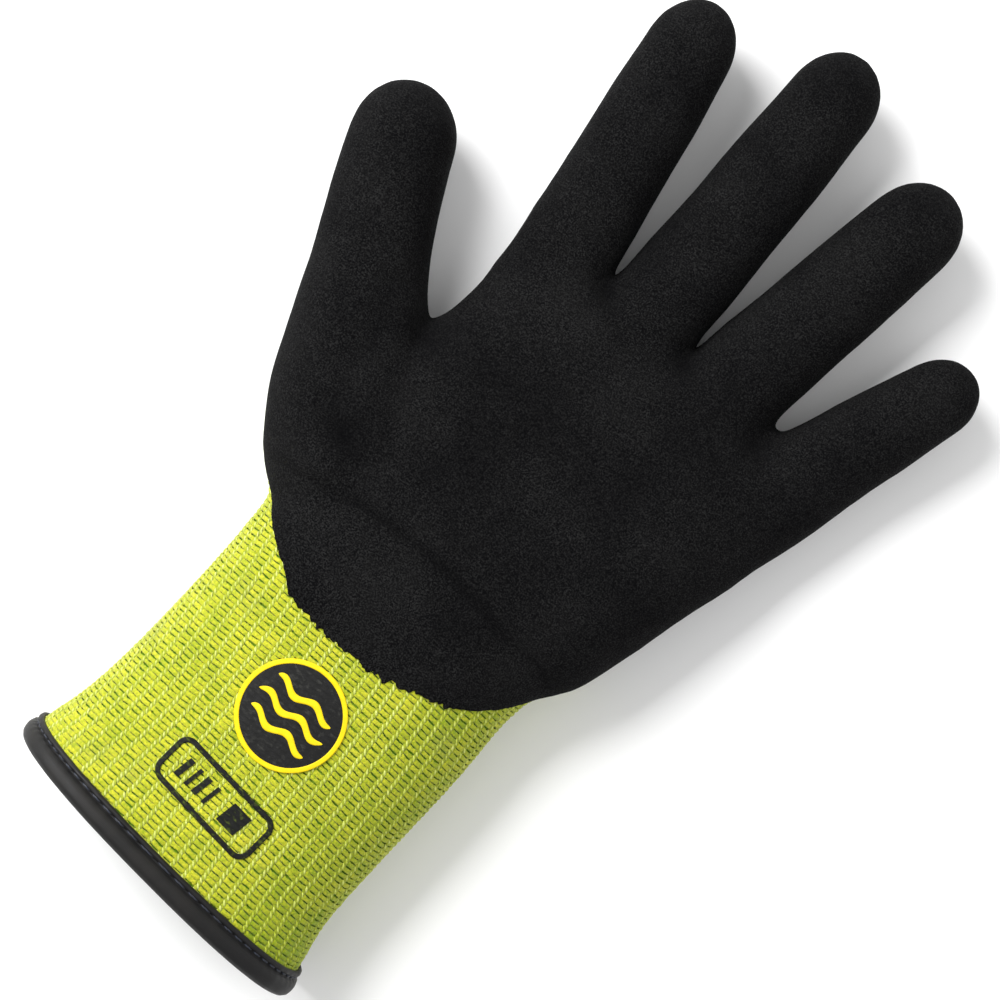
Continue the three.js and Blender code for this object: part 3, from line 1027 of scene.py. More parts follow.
@dataclass
class StitchGrid:
    """Where each course and wale of the knit runs over the form."""

    form: GloveForm
    wales: int = 52
    course: float = 1.36
    spread: float = 0.05
    leans: tuple[tuple[float, float], ...] = (
        (0.0, 2.0),
        (20.0, 2.5),
        (35.0, 4.0),
        (50.0, 5.5),
        (62.0, 5.5),
        (80.0, 1.0),
        (120.0, 0.0),
    )
    rays: int = 240
    per_wale: int = 6
    per_course: int = 2
    last: float = 114.0
    straight_after: float = 76.0
    hub_height: float = 15.0
    sag: float = 2.4
    sag_half: float = 40.0
    sag_from: float = 15.0

    def build(self) -> None:
        """Casts the sections of the form and spreads the wales evenly round them."""
        rows = int(self.last / self.course) * self.per_course + 1
        turns = np.linspace(-0.5 * math.pi, 1.5 * math.pi, self.rays, endpoint=False)
        kept: np.ndarray | None = None
        grid = []
        for row in range(rows):
            along = row * self.course / self.per_course
            ring = self.section(along, turns)
            closed = np.vstack([ring, ring[:1]])
            steps = np.linalg.norm(np.diff(closed, axis=0), axis=1)
            share = np.concatenate([[0], np.cumsum(steps)]) / steps.sum()
            if along <= self.straight_after or kept is None:
                kept = share
            even = np.arange(self.wales * self.per_wale) / (self.wales * self.per_wale)
            even = even + self.spread * np.sin(2 * math.pi * even) / (2 * math.pi)
            wanted = (even + self.twist(along) / steps.sum()) % 1.0
            grid.append(np.stack([np.interp(wanted, kept, closed[:, axis]) for axis in range(3)], axis=-1))
        self.points = np.array(grid)
        across = np.roll(self.points, -1, axis=1) - np.roll(self.points, 1, axis=1)
        onward = np.gradient(self.points, axis=0)
        outward = np.cross(onward, across)
        for _ in range(2):
            outward = outward + np.roll(outward, 1, axis=1) + np.roll(outward, -1, axis=1)
        self.outward = outward / np.linalg.norm(outward, axis=-1, keepdims=True)
        middle = self.points.mean(axis=1, keepdims=True)
        if np.mean(np.sum((self.points - middle) * self.outward, axis=-1)) < 0:
            self.outward = -self.outward

    def twist(self, along: float) -> float:
        """Returns how far the wales have drifted round the cuff at a place, in millimetres."""
        places, leans = np.array(self.leans).T
        run = np.linspace(0, along, 60)
        slopes = np.tan(np.radians(np.interp(run, places, leans)))
        return float(np.mean(slopes) * along)

    def lag(self, x: float, along: float) -> float:
        """Returns how far a course lies behind its place on the cuff's middle, at a place across."""
        grown = min(along / self.sag_from, 1.0)
        return x * self.form.pattern.slant(along) + self.sag * grown * (x / self.sag_half) ** 2

    def section(self, along: float, turns: np.ndarray) -> np.ndarray:
        """Casts rays from the middle of the glove to its outside.

        Args:
            along: The course's place.
            turns: The rays' angles, from the floor's side round by the little finger's.

        Returns:
            One point for each ray.
        """
        found = np.empty((len(turns), 3))
        for i, turn in enumerate(turns):
            x = 0.0
            way = Vector((math.cos(turn), 0.0, math.sin(turn)))
            for _ in range(3):
                start = np.array([0.0, along - self.lag(x, along) + 0.02, self.hub_height])
                hit = self.form.finder.ray_cast(Vector(to_frame(start)), way)[0]
                if hit is None:
                    break
                x = hit.x / MM + ORIGIN[0]
            point = found[i - 1] if hit is None else np.array(hit) / MM + ORIGIN
            found[i] = point
        return found

    def lay(self, wale: np.ndarray, course: np.ndarray, over: np.ndarray) -> tuple[np.ndarray, np.ndarray]:
        """Finds points over the knit.

        Args:
            wale: Places round the glove, in wales.
            course: Places along it, in courses.
            over: Heights over the form, in millimetres.

        Returns:
            The points and the normals there.
        """
        columns = self.points.shape[1]
        u = np.asarray(wale) * self.per_wale
        v = np.clip(np.asarray(course) * self.per_course, 0, len(self.points) - 1.001)
        u0, v0 = np.floor(u).astype(int), np.floor(v).astype(int)
        fu, fv = (u - u0)[..., None], (v - v0)[..., None]
        a, b = u0 % columns, (u0 + 1) % columns

        def mixed(table: np.ndarray) -> np.ndarray:
            """Returns the table's values between its knots."""
            lower = table[v0, a] * (1 - fu) + table[v0, b] * fu
            upper = table[v0 + 1, a] * (1 - fu) + table[v0 + 1, b] * fu
            return lower * (1 - fv) + upper * fv

        outward = mixed(self.outward)
        outward /= np.linalg.norm(outward, axis=-1, keepdims=True)
        return mixed(self.points) + outward * np.asarray(over)[..., None], outward

    def locate(self, x: float, y: float) -> tuple[float, float]:
        """Finds the wale and course at a place in plan on the palm side.

        Args:
            x: The place across.
            y: The place along.

        Returns:
            The wale and the course.
        """
        along = y + self.lag(x, y)
        row = self.points[int(round(along / self.course * self.per_course))]
        columns = len(row)
        top = np.arange(int(columns * 0.26), int(columns * 0.74))
        order = np.argsort(row[top, 0])
        wale = np.interp(x, row[top, 0][order], top[order]) / self.per_wale
        return float(wale), along / self.course


# The coating


@dataclass
class FoamCoating:
    """The dipped foam over the palm, thumb and fingers, with its ragged lower edge."""

    form: GloveForm
    finish: FoamFinish = field(default_factory=FoamFinish)
    dip_start: float = 66.1
    dip_height: float = 38.0
    dip_lean: float = 1.1
    dip_turn: float = 0.06
    wall: float = 1.2
    edge_wall: float = 0.62
    edge_round: float = 0.16
    edge_tuck: float = 0.35
    edge_run: float = 4.5
    least_over: float = -0.1
    fine_band: float = 2.4
    second_dip: tuple[tuple[float, float], ...] = (
        (-60.0, 84.5),
        (-38.6, 89.0),
        (-21.7, 92.7),
        (-11.0, 95.2),
        (4.5, 95.8),
        (24.6, 94.0),
        (39.0, 93.5),
        (60.0, 94.5),
    )
    edge_shift: tuple[tuple[float, float], ...] = (
        (-45.0, 0.5),
        (-34.0, 1.0),
        (-25.0, 1.2),
        (-19.5, -1.4),
        (-5.5, -1.1),
        (9.6, -0.8),
        (21.0, -0.6),
        (29.0, -0.4),
        (45.0, 0.0),
    )
    thumb_crease: tuple[tuple[float, float], ...] = (
        (-51.0, 135.5),
        (-45.5, 125.3),
        (-45.0, 113.6),
        (-39.9, 103.9),
        (-29.3, 100.8),
    )
    palm_crease: tuple[tuple[float, float], ...] = ((10.0, 120.0), (5.0, 112.0))
    second_groove: tuple[float, float] = (0.42, 1.2)
    second_step: float = 0.2
    thumb_groove: tuple[float, float] = (1.0, 4.2)
    # painted shade along the thumb's crease: its depth and half width
    thumb_painted_shade: tuple[float, float] = (0.16, 3.2)
    palm_groove: tuple[float, float] = (0.35, 1.2)
    wave_height: float = 0.13
    grain_height: float = 0.09
    dents: tuple[tuple[float, float, float, float], ...] = (
        (-34.7, 103.2, 5.0, -0.8),
        (-33.4, 94.8, 4.5, 0.5),
        (-36.5, 132.5, 5.0, -1.0),
        (-13.4, 169.5, 4.2, -1.3),
        (11.3, 170.0, 4.2, -1.3),
        (37.0, 166.5, 4.6, -1.3),
        (-2.0, 134.5, 17.0, -0.9),
        (26.0, 118.5, 14.0, 0.6),
    )

    def edge_of(self, x: np.ndarray, z: np.ndarray) -> np.ndarray:
        """Finds the dip line's place along Y.

        Args:
            x: Places across.
            z: Heights over the floor.

        Returns:
            The coating's edge there.
        """
        level = self.dip_start + self.dip_lean * (self.dip_height - z) + self.dip_turn * x
        shift = np.interp(x, *np.array(self.edge_shift).T)
        upper = ease(z, 16.0, 26.0)
        middle = ease(x, -21.0, -17.0) * (1 - ease(x, 23.0, 29.0)) * upper
        teeth = 0.7 * value_noise(x / 1.3, 5) + 0.5 * value_noise(x / 0.62, 6)
        calm = 0.28 * value_noise(x / 3.5 + z / 3.0, 7)
        return level + shift * upper + teeth * (0.2 + 0.8 * middle) + calm

    def past_second(self, x: np.ndarray, y: np.ndarray) -> np.ndarray:
        """Returns how far along Y places lie past the edge of the second dip."""
        return y - np.interp(x, *np.array(self.second_dip).T) + 0.5 * value_noise(x / 4.0, 9)

    def painted_shade_of(self, points: np.ndarray, normals: np.ndarray) -> np.ndarray:
        """Finds the painted shade in the foam's colour: darker in creases, crotches and dents, lighter on
        bumps, and paler on the first dip.

        Args:
            points: Points on the form.
            normals: Their normals.

        Returns:
            The painted shade at each point, 0.5 where it is even.
        """
        x, y, _ = points.T
        facing = ease(normals[:, 2], 0.0, 0.4)
        from_second = self.past_second(x, y)
        # painted shade along the second dip's crease
        crease_shade = 0.2 + 0.1 * value_noise(x / 9.0, 15)
        dull = crease_shade * bell(from_second - 0.4, 1.7)
        shade = 0.04 * (1 - ease(from_second, -1.5, 0.5)) - dull
        # painted shade in the valley at the thumb's base
        depth, half = self.thumb_painted_shade
        shade -= depth * bell(from_line(points, self.thumb_crease), half)
        # painted shade in the dents and finger crotches, painted light on the bumps
        for cx, cy, radius, height in self.dents:
            near = np.exp(-(((x - cx) ** 2 + (y - cy) ** 2) / (0.9 * radius) ** 2))
            shade += 0.24 * height * near * min(1.0, 5.0 / radius)
        return np.clip(0.5 + facing * shade, 0.03, 1.0)

    def relief_of(self, points: np.ndarray, normals: np.ndarray) -> np.ndarray:
        """Finds the coating's creases, dents and soft unevenness.

        Args:
            points: Points on the form.
            normals: Their normals.

        Returns:
            How far each stands over the even coating.
        """
        x, y, z = points.T
        facing = ease(normals[:, 2], 0.05, 0.5)
        from_second = self.past_second(x, y)
        total = self.second_step * ease(from_second, -0.6, 2.0)
        for gap, (depth, half) in (
            (from_second, self.second_groove),
            (from_line(points, self.thumb_crease), self.thumb_groove),
            (from_line(points, self.palm_crease), self.palm_groove),
        ):
            total -= depth * bell(gap, half)
        for cx, cy, radius, height in self.dents:
            total += height * np.exp(-(((x - cx) ** 2 + (y - cy) ** 2) / radius**2))
        waves = value_noise(x / 11.0 + 0.4 * y / 11.0, 11) + value_noise(y / 13.0 - 0.3 * x / 13.0, 12)
        fine = value_noise(x / 4.3 + z / 6.0, 13) * value_noise(y / 4.7, 14)
        return facing * total + self.wave_height * waves + self.grain_height * fine

    def cut_shell(self) -> tuple[bpy.types.Mesh, np.ndarray, np.ndarray]:
        """Cuts the form at the dip line and adds a strip inward from the cut.

        Returns:
            The mesh, the strip's inner points, and the point of the cut above each of them.
        """
        shape = bmesh.new()
        shape.from_mesh(self.form.skin)
        self.shift_points(shape, -1)
        near = [
            edge
            for edge in shape.edges
            if all(abs(v.co.y) < self.fine_band * MM for v in edge.verts)
        ]
        bmesh.ops.subdivide_edges(shape, edges=near, cuts=2, use_grid_fill=True)
        bmesh.ops.bisect_plane(
            shape,
            geom=[*shape.verts, *shape.edges, *shape.faces],
            plane_co=Vector((0, 0, 0)),
            plane_no=Vector((0, 1, 0)),
            clear_inner=True,
        )
        self.shift_points(shape, 1)
        shape.normal_update()
        rim = [edge for edge in shape.edges if edge.is_boundary]
        made = bmesh.ops.extrude_edge_only(shape, edges=rim)["geom"]
        shape.verts.index_update()
        inner = [vert for vert in made if isinstance(vert, bmesh.types.BMVert)]
        under = {vert.index for vert in inner}
        above = {}
        for vert in inner:
            beside = (edge.other_vert(vert) for edge in vert.link_edges)
            above[vert.index] = next(other.index for other in beside if other.index not in under)
        mesh = bpy.data.meshes.new("foam_shell")
        shape.to_mesh(mesh)
        shape.free()
        below = sorted(under)
        return mesh, np.array(below, dtype=int), np.array([above[i] for i in below], dtype=int)

    def build(self) -> list[bpy.types.Object]:
        """Cuts the coating out of the form and raises it.

        Returns:
            The coating's piece.
        """
        mesh, below, above = self.cut_shell()
        points = points_of(mesh)
        normals = normals_of(mesh)
        normals[below] = normals[above]
        past = np.maximum(points[:, 1] - self.edge_of(points[:, 0], points[:, 2]), 0)
        wall = self.edge_wall + (self.wall - self.edge_wall) * ease(past, -1.0, self.edge_run)
        wall = wall - self.edge_round * bell(past, 0.5)
        over = wall + self.relief_of(points, normals) * ease(past, 0.0, 5.0)
        over = np.maximum(over, self.least_over)
        over[below] = -self.edge_tuck
        raised = points + normals * over[:, None]
        raised[:, 2] = np.maximum(raised[:, 2], 0.02)
        move_points(mesh, raised)
        # stores the painted shade, which the foam's material reads
        add_tone(mesh, "shade", self.painted_shade_of(points, normals))
        mesh.polygons.foreach_set("use_smooth", np.ones(len(mesh.polygons), dtype=bool))
        mesh.materials.append(self.finish.material())
        piece = place("foam_shell", mesh)
        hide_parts("foam_coating")
        return [piece]

    def shift_points(self, shape: bmesh.types.BMesh, way: int) -> None:
        """Slides the points along Y so that the dip line becomes straight, or back again.

        Args:
            shape: The mesh in the making.
            way: -1 to straighten the line, 1 to bring it back.
        """
        places = np.array([v.co[:] for v in shape.verts]) / MM + ORIGIN
        slide = (self.edge_of(places[:, 0], places[:, 2]) - ORIGIN[1]) * MM * way
        for vert, amount in zip(shape.verts, slide):
            vert.co.y += amount


# The knit


@dataclass
class StrandShape:
    """How one strand of a stitch runs, in wales, courses and millimetres, from end to end."""

    wale: np.ndarray
    course: np.ndarray
    over: np.ndarray
    half_width: np.ndarray
    half_height: np.ndarray
    sides: int


@dataclass
class KnitLiner:
    """The knitted liner: a backing wall, and every stitch's bar and legs as real strands."""

    form: GloveForm
    grid: StitchGrid
    coating: FoamCoating
    start: float = 4.0
    under_foam: float = 1.6
    back_sides: int = 6
    jitter: float = 0.035
    sideways: float = 0.6
    tilt: float = 0.05
    lift: float = 0.03
    girth: float = 0.06
    fray: float = 0.07
    waver: float = 0.016
    tone_and_shade: float = 0.42
    tone_spread: float = 0.05
    # painted shade: how far the yarn's tone is lowered towards the cuff's little-finger side and near its
    # edge
    painted_side_shade: float = 0.14
    painted_shade_across: tuple[float, float] = (8.0, 36.0)
    painted_shade_along: tuple[float, float] = (6.0, 26.0)
    bare_disc: tuple[float, float, float] = (0.0, 48.1, 10.0)
    bar_finish: YarnFinish = field(
        default_factory=lambda: YarnFinish(Strand.BAR, tint(126, 147, 3), tint(208, 202, 44))
    )
    leg_finish: YarnFinish = field(
        default_factory=lambda: YarnFinish(Strand.LEG, tint(166, 179, 38), tint(216, 222, 136))
    )
    back_finish: YarnFinish = field(
        default_factory=lambda: YarnFinish(Strand.BACK, tint(128, 142, 12), tint(172, 180, 50))
    )
    backing: BackingFinish = field(default_factory=BackingFinish)
    wall_depth: float = 0.3
    wall_thickness: float = 1.1
    wall_share: float = 0.3

    def shapes(self) -> dict[Strand, StrandShape]:
        """Returns each strand's run over one stitch."""
        bar = np.linspace(-1, 1, 7)
        leg = np.linspace(0, 1, 4)
        return {
            Strand.BAR: StrandShape(
                wale=0.5 + 0.42 * bar,
                course=0.5 - 0.05 * (1 - bar**2) - 0.03 * bar + 0.055 * np.sin(3.0 * math.pi * bar),
                over=np.array([-0.16, 0.0, 0.05, 0.03, 0.05, 0.0, -0.16]),
                half_width=np.array([0.69, 0.65, 0.57, 0.61, 0.57, 0.65, 0.69]),
                half_height=np.array([0.2, 0.25, 0.27, 0.25, 0.27, 0.25, 0.2]),
                sides=8,
            ),
            Strand.LEG: StrandShape(
                wale=1.15 - 0.3 * leg,
                course=0.97 - 0.86 * leg,
                over=np.array([-0.04, 0.16, 0.16, -0.06]),
                half_width=np.array([0.1, 0.28, 0.28, 0.1]),
                half_height=np.array([0.12, 0.22, 0.22, 0.12]),
                sides=6,
            ),
            Strand.BACK: StrandShape(
                wale=1.17 - 0.34 * leg,
                course=0.56 - 1.0 * leg,
                over=np.array([-0.16, 0.0, 0.0, -0.16]),
                half_width=np.array([0.36, 0.44, 0.44, 0.36]),
                half_height=np.array([0.2, 0.22, 0.22, 0.2]),
                sides=6,
            ),
        }

    def cells(self) -> tuple[np.ndarray, np.ndarray]:
        """Finds the stitches that can be seen: past the binding, and outside the foam.

        Returns:
            Each stitch's wale and course.
        """
        grid = self.grid
        courses = np.arange(int(self.start / grid.course) + 1, int(grid.last / grid.course) - 1)
        wale, course = np.meshgrid(np.arange(grid.wales), courses, indexing="ij")
        wale, course = wale.ravel(), course.ravel()
        middle, _ = grid.lay(wale + 0.5, course + 0.5, np.zeros(len(wale)))
        edge = self.coating.edge_of(middle[:, 0], middle[:, 2])
        seen = middle[:, 1] < edge + self.under_foam
        x, y, radius = self.bare_disc
        hidden = (np.hypot(middle[:, 0] - x, middle[:, 1] - y) < radius) & (middle[:, 2] > 20)
        keep = seen & ~hidden
        return wale[keep], course[keep]

    def strands(
        self, strand: Strand, wale: np.ndarray, course: np.ndarray, sides: int | None = None
    ) -> bpy.types.Mesh:
        """Builds one strand of every given stitch as a closed tube.

        Args:
            strand: Which of the stitch's strands.
            wale: The stitches' wales.
            course: The stitches' courses.
            sides: How many sides the tube has, where it isn't the strand's own number.

        Returns:
            One mesh of them all.
        """
        shape = self.shapes()[strand]
        chance = np.random.default_rng({Strand.BAR: 21, Strand.LEG: 22, Strand.BACK: 23}[strand])
        count, rings, sides = len(wale), len(shape.wale), sides or shape.sides
        nudge = chance.normal(0, self.jitter, (3, count, 1))
        tilt = chance.normal(0, self.tilt, (count, 1)) * np.linspace(-1, 1, rings)
        lift = chance.normal(0, self.lift, (count, 1))
        size = 1 + chance.normal(0, self.girth, (count, 1)) + chance.normal(0, self.fray, (count, rings))
        waver = chance.normal(0, self.waver, (count, rings))
        run, normal = self.grid.lay(
            wale[:, None] + shape.wale + nudge[0] * self.sideways,
            course[:, None] + shape.course + nudge[1] + tilt + waver,
            shape.over + lift,
        )
        onward = np.gradient(run, axis=1)
        onward /= np.linalg.norm(onward, axis=-1, keepdims=True)
        side = np.cross(onward, normal)
        side /= np.linalg.norm(side, axis=-1, keepdims=True)
        rise = np.cross(side, onward)
        points = tube_points(run, side, rise, shape.half_width * size, shape.half_height * size, sides)
        mesh = tube_mesh("strands", points)
        spread = self.tone_spread
        by_wale = np.random.default_rng(31).uniform(-spread, spread, self.grid.wales)[wale]
        x, y, _ = run[:, rings // 2].T
        # painted shade: the tone is lowered towards the little finger's side, twice as much near the cuff's
        # edge
        painted_shade = self.painted_side_shade * ease(x, *self.painted_shade_across) * (2 - ease(y, *self.painted_shade_along))
        tone_and_shade = np.clip(self.tone_and_shade + by_wale + chance.normal(0, spread, count) - painted_shade, 0, 1)
        add_tone(mesh, "tone_and_shade", np.repeat(tone_and_shade, rings * sides))
        return mesh

    def wall(self) -> bpy.types.Mesh:
        """Builds the backing: a wall under the strands, open at the cuff and closed at the tips."""
        mesh = self.form.skin.copy()
        points = points_of(mesh)
        move_points(mesh, points - normals_of(mesh) * self.wall_depth)
        piece = place("wall_form", mesh)
        thin = piece.modifiers.new("fewer", "DECIMATE")
        thin.ratio = self.wall_share
        thick = piece.modifiers.new("thick", "SOLIDIFY")
        thick.thickness = self.wall_thickness * MM
        thick.offset = -1.0
        wall = settled(piece)
        wall.polygons.foreach_set("use_smooth", np.ones(len(wall.polygons), dtype=bool))
        return wall

    def build(self) -> list[bpy.types.Object]:
        """Knits the liner.

        Returns:
            Its pieces.
        """
        wale, course = self.cells()
        upper = (wale >= self.grid.wales // 4) & (wale < 3 * self.grid.wales // 4)
        made: list[tuple[str, bpy.types.Mesh, bpy.types.Material]] = []
        bar, leg, back = (f.material() for f in (self.bar_finish, self.leg_finish, self.back_finish))
        made.append(("knit_bars_palm", self.strands(Strand.BAR, wale[upper], course[upper]), bar))
        plain = self.strands(Strand.BAR, wale[~upper], course[~upper], self.back_sides)
        made.append(("knit_bars_back", plain, bar))
        made.append(("knit_legs", self.strands(Strand.LEG, wale, course), leg))
        made.append(("knit_strands", self.strands(Strand.BACK, wale, course), back))
        made.append(("knit_wall", self.wall(), self.backing.material()))
        pieces = []
        for name, mesh, material in made:
            mesh.name = name
            mesh.materials.clear()
            mesh.materials.append(material)
            piece = place(name, mesh)
            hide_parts("knit_liner")
            pieces.append(piece)
        return pieces


# The binding


@dataclass
class CuffBinding:
    """The tape folded over the cuff's edge, with its roll, seam groove, flange and sewing thread."""

    form: GloveForm
    tape_finish: TapeFinish = field(default_factory=TapeFinish)
    thread_finish: ThreadFinish = field(default_factory=ThreadFinish)
    outside: float = 5.2
    inside: float = 4.8
    wall: float = 1.1
    roll: float = 0.5
    flange: float = 1.5
    groove: float = 0.75
    seat: float = 0.3
    knit_wall: float = 1.6
    stitches: int = 68
    steps_per_stitch: int = 8
    thread_radius: float = 0.24
    thread_rings: int = 7
    thread_sides: int = 8
    thread_shift: float = 0.22
    stitch_share: float = 0.8
    stitch_over: float = 0.34
    stitch_dive: float = 0.42
    pinch: float = 0.28
    ripple: float = 0.16
    # painted shade towards the cuff's little-finger side, and where it spreads across
    painted_shade_right: float = 0.6
    painted_shade_right_across: tuple[float, float] = (-5.0, 36.0)

    def outline(self) -> np.ndarray:
        """Returns the tape's closed outline: places along the cuff and heights over the liner."""
        out = self.seat + self.wall
        inner = -self.knit_wall - self.seat
        edge = -self.seat
        fold = edge - self.wall
        seam = self.outside - self.flange
        return np.array(
            [
                (self.outside, self.seat),
                (self.outside + 0.05, out - 0.35),
                (self.outside - 0.2, out - 0.02),
                (self.outside - 0.5, out + 0.06),
                (seam + 0.62, out + 0.02),
                (seam + 0.3, out - 0.5 * self.groove),
                (seam, out - self.groove),
                (seam - 0.36, out - 0.4 * self.groove),
                (seam - 0.85, out + 0.55 * self.roll),
                (seam - 1.7, out + 0.95 * self.roll),
                (seam * 0.45, out + self.roll),
                (seam * 0.2, out + 0.75 * self.roll),
                (edge + 0.1, out + 0.1),
                (fold + 0.38, out - 0.55),
                (fold + 0.08, self.seat - 0.1),
                (fold, -0.8),
                (fold + 0.12, inner + 0.1),
                (edge - 0.4, inner - 0.75 * self.wall),
                (edge + 0.4, inner - self.wall),
                (self.inside - 0.5, inner - self.wall),
                (self.inside, inner - 0.7 * self.wall),
                (self.inside, inner),
                (edge, inner),
                (edge, self.seat),
            ]
        )

    def liner_at(self, along: float, angles: np.ndarray) -> tuple[np.ndarray, np.ndarray]:
        """Returns the liner's outside at a place along the cuff, and the steps outward of 1 mm there."""
        pattern = self.form.pattern
        flat = pattern.sunk(pattern.hand_curve, along, angles, pattern.liner_inset, True)
        proud = pattern.sunk(pattern.hand_curve, along, angles, pattern.liner_inset - 1.0, True)
        return flat, proud - flat

    def tape(self) -> bpy.types.Mesh:
        """Lofts the tape round the cuff, pinched in at each stitch of its seam, with painted shade stored in
        its groove and towards the little finger's side.
        """
        outline = self.outline()
        seam = self.outside - self.flange
        count = self.stitches * self.steps_per_stitch
        angles = angles_round(count)
        pinch = 0.5 + 0.5 * np.cos(np.arange(count) / self.steps_per_stitch * 2 * math.pi)
        sway = value_noise(np.arange(count) / 26.0, 41) * 0.5 + value_noise(np.arange(count) / 9.0, 42) * 0.25
        sway *= np.minimum(1, np.minimum(np.arange(count), count - np.arange(count)) / 30)
        columns = []
        painted_shades = []
        for along, over in outline:
            near = math.exp(-(((along - seam) / 0.75) ** 2)) if over > 0.4 else 0.0
            fullness = math.exp(-(((along - seam * 0.45) / 2.0) ** 2)) if over > 0.4 else 0.0
            height = over - self.pinch * near * pinch + self.ripple * sway * fullness
            points, outward = self.liner_at(along, angles)
            points = points + outward * height[:, None]
            points[:, 1] += self.ripple * sway * (1 if along > self.outside - 0.3 else 0)
            points[:, 2] = np.maximum(points[:, 2], 0.0)
            columns.append(points)
            # painted shade: dark in the seam's groove at each stitch, and towards the little finger's side
            painted_shade_right = self.painted_shade_right * ease(points[:, 0], *self.painted_shade_right_across)
            painted_shades.append(np.maximum(near**3 * (0.45 + 0.55 * pinch), painted_shade_right))
        rings = np.array(columns).transpose(1, 0, 2)
        at = np.arange(rings[..., 0].size).reshape(rings.shape[:2])
        quads = quads_between(np.vstack([at, at[:1]]))
        mesh = mesh_from("binding_tape", to_frame(rings.reshape(-1, 3)), [quads])
        add_tone(mesh, "seam", np.array(painted_shades).T.ravel())
        shape = bmesh.new()
        shape.from_mesh(mesh)
        bmesh.ops.recalc_face_normals(shape, faces=shape.faces)
        shape.to_mesh(mesh)
        shape.free()
        return mesh

    def thread(self) -> bpy.types.Mesh:
        """Lays the seam's thread: one short twisted stitch after another in the groove."""
        rings, sides = self.thread_rings, self.thread_sides
        run = np.linspace(-1, 1, rings)
        middles = (np.arange(self.stitches) + 0.5) * 2 * math.pi / self.stitches + OFF_CORNER
        half = self.stitch_share * math.pi / self.stitches
        angles = middles[:, None] + run * half
        floor = self.seat + self.wall - self.groove
        over = floor + self.stitch_over - self.stitch_dive * np.abs(run) ** 3
        line = self.outside - self.flange + self.thread_shift
        flat, outward = self.liner_at(line, angles.ravel())
        flat, outward = flat.reshape(-1, rings, 3), outward.reshape(-1, rings, 3)
        path = flat + outward * over[None, :, None]
        onward = np.gradient(path, axis=1)
        onward /= np.linalg.norm(onward, axis=-1, keepdims=True)
        side = np.cross(onward, outward)
        side /= np.linalg.norm(side, axis=-1, keepdims=True)
        radius = self.thread_radius * (1 - 0.35 * np.abs(run) ** 4)
        radius = np.broadcast_to(radius, path.shape[:2])
        points = tube_points(path, side, outward, radius, radius, sides)
        points[..., 2] = np.maximum(points[..., 2], 0.02)
        mesh = tube_mesh("binding_thread", points)
        turns = np.linspace(0, 2 * math.pi, sides, endpoint=False)
        twist = 0.5 + 0.5 * np.sin(turns[None, :] * 2 + np.arange(rings)[:, None] * 2.2)
        add_tone(mesh, "ply", np.tile(twist.ravel(), self.stitches))
        return mesh

    def build(self) -> list[bpy.types.Object]:
        """Makes the binding.

        Returns:
            Its pieces.
        """
        pieces = []
        for mesh, material in (
            (self.tape(), self.tape_finish.material()),
            (self.thread(), self.thread_finish.material()),
        ):
            mesh.materials.append(material)
            piece = place(mesh.name, mesh)
            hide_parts("cuff_binding")
            pieces.append(piece)
        return pieces


# The printed films


